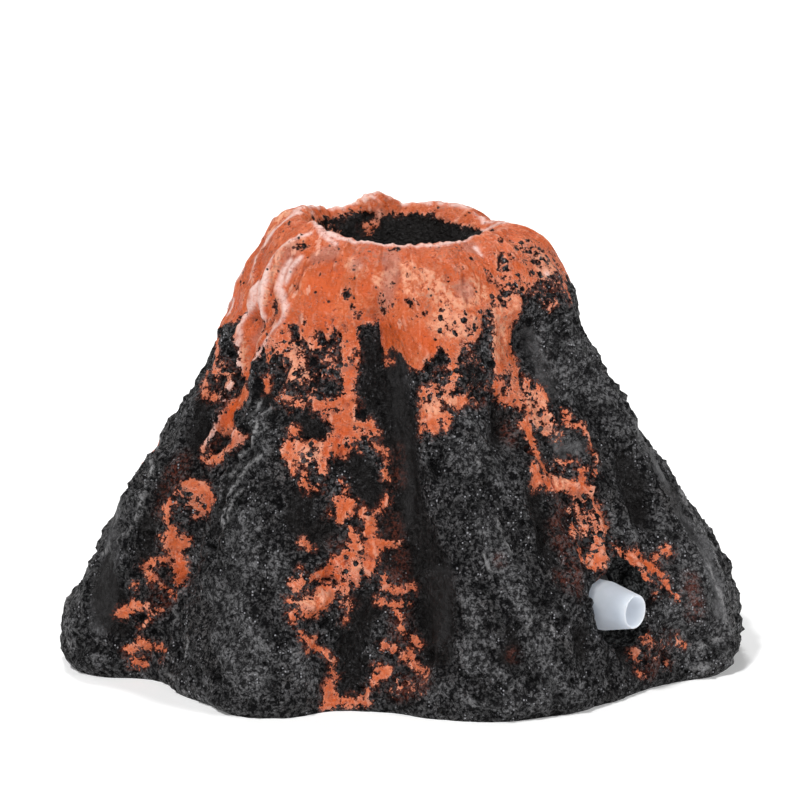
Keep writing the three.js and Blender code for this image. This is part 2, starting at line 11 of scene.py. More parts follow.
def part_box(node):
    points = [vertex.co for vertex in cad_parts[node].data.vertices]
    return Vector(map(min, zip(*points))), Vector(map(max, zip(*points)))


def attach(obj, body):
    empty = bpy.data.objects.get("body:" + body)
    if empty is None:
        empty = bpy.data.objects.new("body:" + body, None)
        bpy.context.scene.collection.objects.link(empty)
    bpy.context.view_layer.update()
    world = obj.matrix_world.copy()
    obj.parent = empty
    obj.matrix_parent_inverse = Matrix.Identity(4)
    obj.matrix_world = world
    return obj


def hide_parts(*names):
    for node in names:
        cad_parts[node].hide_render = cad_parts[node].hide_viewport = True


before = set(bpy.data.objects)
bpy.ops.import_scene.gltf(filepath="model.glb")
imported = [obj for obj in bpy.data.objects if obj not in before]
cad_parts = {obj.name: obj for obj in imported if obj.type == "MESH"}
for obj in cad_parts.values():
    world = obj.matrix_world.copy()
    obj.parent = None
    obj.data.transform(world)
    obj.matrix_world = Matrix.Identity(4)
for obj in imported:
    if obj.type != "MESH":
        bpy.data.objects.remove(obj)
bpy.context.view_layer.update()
MM = 0.001

# the crater axis runs through the air stone
stone_low, stone_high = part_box("air_stone")
AXIS = np.array([(stone_low.x + stone_high.x) / 2, (stone_low.y + stone_high.y) / 2, 0.0]) / MM


# ------------------------------------------------------------ reading tables
def read_points(text):
    """Numbers between spaces, points between commas."""
    return np.array([[float(value) for value in point.split()] for point in text.split(",")])


def read_paths(text):
    """Paths of points between semicolons."""
    return [read_points(path) for path in text.split(";")]


def read_strokes(text):
    """Strokes between semicolons, each "name: height half-width: path" with the name optional."""
    strokes = []
    for entry in text.split(";"):
        *_, size, path = entry.split(":")
        height, half = map(float, size.split())
        strokes.append((height, half, read_points(path)))
    return strokes


# ------------------------------------------------------------- shape tables
FLANK_CENTRE_X = 0.9
# where the flank leans sideways: height, half-height, shift in x
FLANK_LEAN = [(15, 6, 0.9), (27, 6, -0.6)]
# radius, height, share of the flank outline, share of the rim rise
SECTION = read_points("""
    49.2 0 1 0, 50.3 1.3 1 0, 50.4 4 1 0, 50 6.8 1 0, 49.2 9.7 1 0, 47.8 12.7 1 0, 46.2 15.8 1 0,
    44.4 18.8 1 0, 42.4 21.8 1 0, 40.8 24.9 1 0, 38.9 27.9 1 0, 36.8 30.9 1 0, 34.9 33.9 1 0,
    33 36.9 1 0, 31 39.9 1 0, 29.1 42.9 1 0, 27.5 45.9 1 .1, 26.2 48.8 1 .2, 25.1 51.8 1 .3,
    24.8 54.8 1 .45, 23.9 57 1 .6, 22.9 59.2 1 .75, 21.7 61.2 1 .9, 20.2 63 1 1, 17.6 64.5 .85 1,
    15.2 65 .6 1, 13.2 64.3 .25 1, 12.1 62.8 .05 .9, 11.5 60.6 0 .6, 10.9 57.5 0 .3,
    10.3 54.2 0 .1, 9.7 50.6 0 0, 9.2 47.6 0 0, 9 44 0 0""")
# outline of the foot as a factor on the radius, every 5 degrees
FOOT_OUTLINE = np.array([
    0.995, 0.986, 0.971, 0.942, 0.878, 0.831, 0.81, 0.803, 0.805, 0.797, 0.802, 0.801, 0.79, 0.78,
    0.774, 0.754, 0.729, 0.703, 0.668, 0.647, 0.643, 0.653, 0.684, 0.753, 0.789, 0.806, 0.794,
    0.787, 0.788, 0.791, 0.783, 0.774, 0.817, 0.927, 0.974, 0.992, 0.998, 0.982, 0.964, 0.942,
    0.92, 0.892, 0.86, 0.822, 0.791, 0.769, 0.776, 0.791, 0.81, 0.819, 0.819, 0.799, 0.771, 0.741,
    0.726, 0.725, 0.752, 0.782, 0.81, 0.829, 0.838, 0.829, 0.816, 0.804, 0.81, 0.828, 0.859, 0.895,
    0.932, 0.958, 0.982, 0.99,
])
# outline of the upper cone as a factor, every 15 degrees
CONE_OUTLINE = np.array([
    1, 1, 0.95, 0.9, 0.865, 0.85, 0.83, 0.84, 0.86, 0.88, 0.92, 0.962,
    0.975, 0.965, 0.935, 0.89, 0.85, 0.84, 0.83, 0.83, 0.86, 0.9, 0.94, 0.98,
])
# rise and fall of the rim, every 15 degrees
RIM_RISE = np.array([
    -0.5, -0.5, -0.7, -0.9, -1.1, -1.2, -1.3, -1.2, -1, -0.3, 0.4, 0.8,
    0.9, 0.8, 0.5, -0.4, 0.3, 1.4, 0.2, -0.2, 0.1, -0.7, -1.5, -1.4,
])
# outline of the crater mouth as a factor, every 15 degrees
MOUTH_OUTLINE = np.array([
    1.03, 1.02, 0.98, 0.94, 0.92, 0.9, 0.89, 0.9, 0.92, 0.95, 0.99, 1.02,
    1.02, 1, 0.97, 0.93, 0.91, 0.9, 0.91, 0.92, 0.95, 0.98, 1, 1.03,
])
# ridges and grooves of the body: height and half-width, then bearing and place
STROKES = read_strokes("""
    main groove: -2.4 3.2: 102.6 19.22, 97.4 17.14, 92.5 13.9, 89.1 10.79, 88.5 8.11, 89.3 5.4,
        89 2.81;
    centre lobe: 1.5 8: 75.7 15.23, 74.3 11.72, 70.7 8.2, 69 4.68, 66.6 2.24;
    front left lobe: 1.6 6: 137.9 17.36, 139.3 14.3, 134.6 11.23, 132.5 7.7, 128.1 4.28, 125.2 1.7;
    left crease: -2.2 2.6: 156.8 17.84, 155.6 14.35, 148.4 10.36, 152 7.65, 154 4.95, 148.3 2.55;
    left fold: 1 2.6: 163.6 17.43, 160.9 14.19, 158.5 10.94, 158.7 8.09, 158.4 4.76;
    far left lobe: 1.2 6: 167.2 16.36, 167 12.08, 165.8 7.35, 166.2 3.46, 166.7 1.32;
    front channel: -1.3 5: 113 18, 108.6 15.18, 107.5 11.61, 105.8 7.98, 108.4 4.8, 104.7 1.82;
    right groove: -1.8 4: 39.9 17.87, 42.1 14.36, 41.4 11.62, 38.1 8.78, 41.2 5.7, 37.8 2.94;
    right lobe: 1.2 7: 19.4 18.13, 17 14.15, 14.7 9.77, 16.1 5.55, 14.2 2.46;
    right crease: -1 2.5: 25.4 14.41, 23.1 11.04, 21 8.14, 21.2 4.84, 20.3 1.74;
    drip: .8 1.9: 126.3 23.92, 131.9 21.5, 136.6 18.96, 140.1 17.31;
    drip: .9 2: 150.5 24.43, 152.3 21.53, 155.4 18.74, 158.4 17.29;
    drip: .8 2: 103.6 23.15, 106.1 20.93, 108 18.73;
    drip: .8 2: 85.9 23.22, 86.6 20.48, 84.6 17.62, 82.8 15.99;
    drip: .7 2.2: 65.6 23.34, 64.2 20.31, 64.2 17.98, 70.9 15.95;
    drip: .8 2: 34.3 24.16, 38.2 21.68, 42.1 19.32;
    drip: .7 2: 21.2 23.29, 21.7 21.15, 22.8 18.71;
    right hollow: -1.3 4: 57.5 14.84, 58.5 13.97;
    upper right hollow: -.9 3: 38.6 17.61, 40.9 17.08;
    left shoulder: -.8 4: 176 20, 172 21.6, 186 21.8;
    right shoulder: -.8 4: 352 17.6, 4 17.4, 14 17.8;
    back groove: -2.2 3.2: 266 19, 270 16, 272 12, 271 8, 270 4, 271 2;
    back left lobe: 1.4 7: 250 17, 248 13.3, 246 8.7, 246 3.3;
    back right lobe: 1.5 8: 296 16.6, 300 12.6, 302 8, 303 2.7;
    back left groove: -1.6 3.2: 232 18.6, 229 14.6, 226 10.7, 225 6, 225 2;
    left rear lobe: 1 6: 208 17.3, 205 12.6, 202 7.3, 200 2.3;
    back right groove: -1.7 3.6: 318 18, 320 14, 322 10, 321 5.3, 322 2;
    right rear lobe: 1 6: 338 16.6, 342 12, 345 6.7, 346 2.3;
    drip: .8 2: 250 24, 248 20.5, 246 17.7;
    drip: .8 2: 285 24, 287 20, 286 17;
    drip: .7 2: 310 24, 312 20, 314 17.3;
    drip: .7 2: 215 24, 213 20.5, 212 17.7;
    drip: .7 2.2: 340 24, 341 20.5, 345 17.7;
    drip: .8 2.2: 186 24, 184 20.5, 181 17.3""")
# thin folds and wrinkles, in the same form
CREASES = read_strokes("""
    .2 .26: 140.5 12.51, 142.7 11.76, 143.7 11.05, 141.6 10.3, 139.9 9.44, 140.4 8.78;
    .22 .28: 131.3 12.33, 133.4 11.68, 136.3 10.95, 136.4 10.16, 137 9.5, 137.6 8.43;
    -.45 .7: 135.4 12.35, 137.5 11.58, 138.7 10.82, 138.5 9.9, 138.7 8.83;
    .36 .36: 164.9 10.2, 164.6 9.59, 164.6 9.01, 164.4 8.35;
    .34 .34: 164.4 8.35, 166.2 7.63, 169.9 6.8;
    .34 .34: 154.1 4.06, 145.7 3.74, 142.4 3.14, 146.9 2.08;
    .3 .34: 153.7 4, 152.2 3.14, 150 2.16;
    .26 .36: 67.8 10.01, 65.5 9.64, 65 9.15, 64.5 8.6, 64.1 8.05, 63.5 7.36;
    .26 .4: 70.7 8.52, 70.3 7.86, 70.3 7.24, 70 6.56; .28 .5: 68.3 6.78, 64.2 6.99, 61.4 6.87;
    .3 .36: 11 7.27, 11.6 6.69, 12 6.34; .3 .36: 9.9 6.24, 10.7 5.41, 11.5 4.75;
    .3 .4: 18.6 1.93, 16.2 2.12, 10.8 1.71; .3 .4: 20 1.28, 16.6 1.41, 11.3 1.09;
    .55 .5: 148.4 22.03, 148.1 21, 145.1 19.88, 141.2 19.34, 135.8 18.97;
    .65 .7: 147.1 23.5, 148.6 22.7, 150.8 21.75, 151.2 20.67, 149.5 19.21, 148.7 18.38;
    .7 .75: 172.5 21.81, 166.2 20.74, 155.7 19.56, 161 18.06, 159.8 17.02, 158.5 16.25,
        155.6 15.82, 157.1 15.12, 158.2 14.57, 157.7 13.82, 156.8 12.9, 155.8 11.98;
    .5 .5: 144.9 17.8, 148.1 17.08, 147.7 16.36, 143.8 16.03;
    .45 .6: 142.8 14.92, 142.1 14.37, 141.5 13.93; -.7 .35: 148.5 18.2, 149.6 17.53, 148.8 16.83;
    -.6 .35: 142.4 18.52, 145.2 18.02; -.6 .6: 160.7 19.47, 161.2 18.33;
    -.32 .5: 121.5 23.09, 130.8 22.6, 136.6 21.73, 136.3 20.59, 133.4 19.11, 131.5 18.47;
    -.5 .9: 99.8 23.43, 97.2 22.19, 97.6 20.84, 99.7 19.41;
    -.3 .5: 63.3 22.13, 65.4 21.04, 64.4 20.12, 60 20; .3 .9: 59.8 21.83, 61.8 20.74;
    -.35 .6: 89.1 23.54, 92.6 22.4, 95.1 21.16; .3 .7: 80.3 22.52, 74.5 21.43, 70.5 20.36;
    .3 .6: 70.5 22.98, 66 22.17, 61.6 22.42; -.4 .6: 35.1 23.72, 41.6 22.93, 44.8 21.82;
    .45 .7: 111.4 8.01, 115.8 7.45; -.5 1: 112 6.86, 109.2 7.08;
    .5 1.1: 115.5 5.84, 111.9 5.93, 109.7 6.53; -.5 1.2: 94.5 8.22, 93.9 7.75;
    -.6 1.3: 93.8 3.48, 93.2 3.28; -.5 1.2: 107.7 6.12, 106.6 5.65;
    -.5 1: 146.9 13.16, 154.1 12.62, 154.6 12.29; -.8 1.6: 57.5 14.77, 58.3 14.02;
    -.5 1.2: 50.3 14.96, 51.1 14.25; .5 .9: 37.8 14.65, 37.9 13.66, 36.6 12.95;
    .45 .8: 42.8 11.38, 37 10.94, 33.7 10.44; -.7 1.2: 39.9 11.77, 35.3 11.22;
    .6 1: 33.3 9.36, 33.3 8.66, 35 7.95, 38.2 7.52; -.6 1.1: 38.8 8.82, 38.6 8.24;
    -.4 .8: 35.4 10.16, 35.9 9.64; -.5 1: 36.2 13.86, 36.9 13.34;
    .4 .7: 31.2 12.91, 29.9 12.3, 29 11.71; -.6 1.6: 77.1 13.18, 79.2 12.77;
    -.5 1.1: 79.2 12.46, 80 12.64; .5 1.2: 66.1 14.02, 70.8 12.93, 69.2 12.05;
    -.5 1.4: 52.7 10.09, 53.8 8.78; .4 1.2: 56.3 11.93, 55.1 10.57, 55.5 9.25;
    -.4 1: 138.6 5.09, 135.8 4.91; -.4 .8: 131.5 4.06, 130.2 4.28;
    .35 .8: 130.5 13.03, 129.7 11.7, 127.5 10.41; .5 1.2: 98.5 10.76, 100.8 9.59, 103.7 8.61;
    -.6 1.4: 111.3 9.36, 109 9.1; .4 1: 117.5 10.7, 117.8 9.37, 118 8.05;
    -.5 1: 104.5 4.27, 103.4 3.27, 104 2.22; .4 .9: 108.4 3.79, 106.7 2.76, 106.5 1.71;
    .4 .8: 121.6 6.01, 121.6 5.14, 119.6 4.06; -.4 .9: 144.5 7.27, 144.2 5.88;
    -.6 .55: 19.9 1.64, 17 1.69, 14.8 1.72, 10.8 1.65; -.5 .5: 155.2 8.68, 152.8 9.2;
    -.5 .6: 140.3 11.66, 141.3 10.87, 140.2 9.87, 141.4 8.75, 144.2 7.97;
    -.45 .6: 129.7 11.24, 129.1 10.35, 126.5 9.59; -.4 .5: 124.7 10.52, 121.5 10.1;
    -.45 .6: 129.4 7.75, 126.3 7.19, 123.7 7.06; -.5 .7: 140 5.58, 136.3 5.16;
    -.4 .6: 116.4 4.53, 115.9 3.6; .35 .5: 123.3 7.96, 121.7 7.11, 121.7 6.23;
    -.45 .6: 73.7 8.19, 73.7 6.86, 72.8 5.99; -.5 .7: 69.8 6.38, 68 5.52, 64.4 5.21;
    -.4 .5: 57.5 5.51, 56.9 4.98; -.5 .8: 22.2 11.02, 21.1 10.03, 22.1 8.66;
    -.4 .6: 23 13.39, 21.9 12.41, 22 11.48; -.35 .5: 15.4 10.15, 15.5 8.97, 15.5 7.77;
    -.4 .6: 68.4 15.11, 67 14.45, 69.3 13.79; .35 .6: 30 17.91, 32.4 17.04, 33.8 15.99;
    -.4 .6: 27.4 18.34, 29.1 17.15, 30.7 15.96; .3 .5: 23.5 17.7, 25.5 16.26, 25.5 14.87;
    .33 .62: 334.8 16.43, 336.1 15.92, 336.6 15.22; .42 .64: 338.8 14.78, 341.8 14.06, 345 13.18;
    -.46 .47: 211.4 5.48, 209 4.8, 208.4 4.08, 205.5 3.38, 202.6 2.8;
    -.31 .71: 194.1 7.62, 193.9 6.73, 193 5.58, 191.2 4.56;
    -.44 .4: 351.8 4.71, 354.2 4.03, 355.1 3.26, 355.2 2.72, 354.9 2.09;
    -.39 .47: 291.5 3.73, 292.1 3.25, 294.1 2.74, 295.6 2.06;
    -.3 .46: 321.9 3.75, 324.4 2.97, 323.2 1.88;
    -.47 .73: 273.5 10.93, 277.2 9.9, 280.8 9.15, 283.7 8.27, 282.9 7.23;
    -.44 .74: 271.3 12.56, 271.6 11.91, 270 11.4, 269.9 10.65;
    -.47 .43: 262.9 17.2, 263.9 16.31, 262 15.4, 261.2 14.73;
    -.39 .75: 355.9 12.24, 355 11.65, 356 10.96; -.43 .74: 287.5 6.14, 290.2 5.58, 294 5;
    -.31 .51: 309 5.34, 311 4.87, 310.9 4.3; -.44 .71: 351 13.47, 350.7 12.89, 350.1 12.13;
    -.29 .69: 346.5 12.3, 344.2 11.27, 341.6 10.25, 341.9 9.52, 342.7 8.63;
    .51 .4: 194.5 11.68, 196.5 10.95, 196.7 10.48, 196.9 9.64, 198.2 8.96;
    -.29 .43: 287.4 18.39, 286.4 17.21, 283.6 16.07, 280.2 15.28;
    -.48 .68: 225.7 7.69, 225.7 7.07, 225.2 6.44, 223.7 5.75;
    -.48 .57: 295.7 4.38, 298.2 3.84, 297 3.27, 297.7 2.61;
    -.36 .66: 238.9 13.19, 235.9 12.54, 235.4 11.87;
    -.36 .45: 194.8 5.3, 193 4.66, 194.4 3.92, 197.3 3.05;
    -.31 .66: 346.3 5.9, 344.5 5.2, 345.8 4.38, 347.4 3.65;
    .48 .53: 213 12.58, 213.2 12.03, 214.2 11.43;
    -.34 .47: 285.8 10.95, 285.1 10.39, 285.1 9.63, 282.8 9.07;
    -.4 .45: 344 4.51, 344.9 3.55, 346.8 2.72; -.33 .47: 356 8.96, 357.9 8.34, .4 7.44;
    .47 .61: 274.5 12.95, 276.3 12.49, 276.3 11.95; -.3 .41: 325.7 18.72, 323.2 18.08, 320.6 17.54;
    .46 .65: 319.9 18.12, 320.9 16.98, 321.6 15.99;
    .34 .65: 288 13.4, 290.6 12.91, 291.7 12.47, 293.4 11.98;
    -.51 .63: 340.1 4.67, 339.1 4.06, 336.5 3.37, 333.2 2.79, 330.5 2.08;
    -.3 .64: 207.7 9.91, 209.7 8.7, 208.5 7.7;
    -.51 .74: 287.9 17.84, 288 17.39, 290.3 17, 289.3 16.31, 287.6 15.63;
    .32 .72: 346.7 17.84, 345.9 16.88, 346.1 15.81, 348.5 14.77;
    -.37 .74: 198.7 8.12, 199.2 7.41, 199.6 6.32, 201.1 5.3;
    .45 .58: 219.2 9.63, 216.2 8.99, 213.5 8.17;
    .42 .6: 242.1 13.6, 241.1 13.1, 239.7 12.41, 239.8 11.92;
    .34 .48: 185 8.32, 185.5 7.58, 185.9 6.81;
    -.37 .5: 252.7 18.84, 253.3 18.22, 253.2 17.14, 251.8 16.22;
    -.51 .73: 288.6 14.99, 287.2 14.27, 286.1 13.02, 283.4 12.23;
    .39 .53: 241.2 17.93, 239.4 17.27, 237.1 16.26; .41 .6: 204.3 7.73, 202.9 6.63, 202.7 5.75;
    -.51 .62: 314.7 11.66, 313 11.26, 314.4 10.64;
    -.29 .54: 201 11, 201.1 10.12, 203.4 9.52, 202.1 8.58, 201 7.74;
    -.25 .59: 325.9 24.1, 325.4 23.03, 325.1 22.05;
    .31 .43: 241.8 23.79, 242.9 23.02, 242.3 22.3, 242.4 21.36;
    .34 .39: 342.7 22.13, 344 21.2, 346 20.15; .3 .35: 349.2 22.27, 349.3 21.64, 350.2 20.94;
    .38 .41: 268 22.23, 267.7 21.42, 266.4 20.76, 265.9 20.12;
    .39 .48: 326.9 23.65, 325.2 22.68, 322.9 21.86, 322.9 21.19;
    .36 .55: 242.9 22.03, 242.5 21.16, 241.2 20.17;
    .41 .51: 322.4 21.98, 323.4 21.21, 324 20.57, 325.2 19.76;
    .42 .51: 192.6 23.3, 191.8 22.52, 191.8 21.75; .35 .47: 203.8 23.46, 203.4 22.61, 201.6 21.58;
    -.32 .43: 250.9 22.45, 253 21.55, 254.5 20.8;
    .37 .43: 230.6 22.01, 230.4 20.87, 231.6 19.74, 233.6 18.95;
    .27 .43: 229.8 22.91, 229.7 22.23, 230.5 21.57, 230.3 20.66;
    -.24 .46: 193.7 21.64, 194.5 20.55, 194 19.63, 194.6 18.5;
    .38 .5: 302.9 23.56, 301.5 22.7, 299.8 22.02, 299.3 20.86;
    -.33 .35: 347.2 22.22, 347.3 21.35, 347.3 20.66; .3 .37: 265.4 23.16, 267.1 22.26, 269 21.5;
    .39 .58: 280.9 22.16, 281.6 21.33, 282.3 20.3, 281.8 19.56;
    .45 .9: 150 24.9, 138 24.8, 126 24.8, 114 24.85, 102 24.85, 90 24.85, 78 24.85, 66 24.85,
        54 24.85, 42 24.85, 30 24.85, 16 24.8""")
# a ridge round the back of the rim
CREASES.append((0.45, 0.9, np.array([(bearing, 24.9) for bearing in range(352, 184, -12)])))

# ------------------------------------------------------------- paint tables
# lower edge of the paint round the cone: bearing, height
PAINT_EDGE = read_points("""
    10.2032 58.8, 12.4016 55.9, 12.5402 57, 19.7931 59.3, 24.9324 58.9, 28.2587 58.8,
    33.0429 57.9, 37.5417 57.1, 41.1454 57.7, 43.8722 58, 47.4729 57.8, 50.6071 56.6, 52.857 56,
    56.3538 53.8, 58.8576 52.8, 62.0573 51.5, 65.4635 51.4, 68.7675 50.7, 70.6968 48.9,
    72.5618 48.4, 74.5513 50.2, 76.0913 51, 78.1046 50.2, 81.233 48.7, 84.436 47.8, 87.6837 48,
    91.5162 49.9, 95.2041 50.2, 97.6519 49, 99.9975 50.4, 100.545 53.7, 104.427 53.7,
    107.808 53.4, 109.764 52.4, 111.952 50.5, 115.417 50.5, 116.527 51.7, 120.543 51.4,
    123.384 50.1, 126.29 49.9, 129.057 49.4, 132.45 49.3, 134.813 49.3, 137.253 49.5,
    138.869 48.3, 139.93 47.1, 143.883 49.1, 147.814 46.4, 151.768 49, 155.76 44.8, 158.727 47.8,
    162.708 51.6, 167.493 51.2, 179.074 48.9,
    -2 51.8, -4 53.2, -6 52.6, -8 53.2, -10 50.3, -12 48.8, -14 45.7, -16 48.3, -18 52.1,
    -20 51.9, -22 52.8, -24 51.8, -26 52.2, -28 53.8, -30 51.7, -32 53.6, -34 50.9, -36 50.2,
    -38 49.8, -40 48.9, -42 45.7, -44 45.7, -46 46.1, -48 46.2, -50 47.1, -52 49.1, -54 49.4,
    -56 51.2, -58 52.2, -60 52.6, -62 53.8, -64 51.6, -66 51.2, -68 47.6, -70 47.6, -72 47.2,
    -74 44.9, -76 45.7, -78 45.6, -80.3 45.5, -82.7 48.3, -85 52.3, -87.2 53.3, -89.5 52.9,
    -91.8 52, -94 53.3, -96.2 52.3, -98.5 50.1, -100.8 49.2, -103 47.9, -105 46.8, -107 46.8,
    -109 45.7, -111 46.7, -113 45.1, -115 46.2, -117 45.6, -119 47.5, -121.2 49.3, -123.5 51,
    -125.8 53.1, -128 52.2, -130 51.3, -132 49.1, -134 47.2, -136 44.8, -138 45.2, -140 45.9,
    -142 44.6, -144 45, -146 46.5, -148 47.1, -150 48.1, -152 49.2, -154 49.3, -156 49.9,
    -158 52.5, -160 52.6, -162 50.6, -164 49.5, -166 48.3, -168 45.8, -170.3 47.1, -172.7 46.4,
    -175 44""")
# the place where the paint ends over the rim, every 18 degrees
LIP_EDGE = np.array([
    26.0, 25.5, 25.4, 25.4, 25.4, 25.4, 25.4, 25.4, 25.3, 25.7,
    26.5, 26.8, 26.2, 25.8, 27.0, 26.4, 26.1, 26.7, 26.1, 26.2,
])
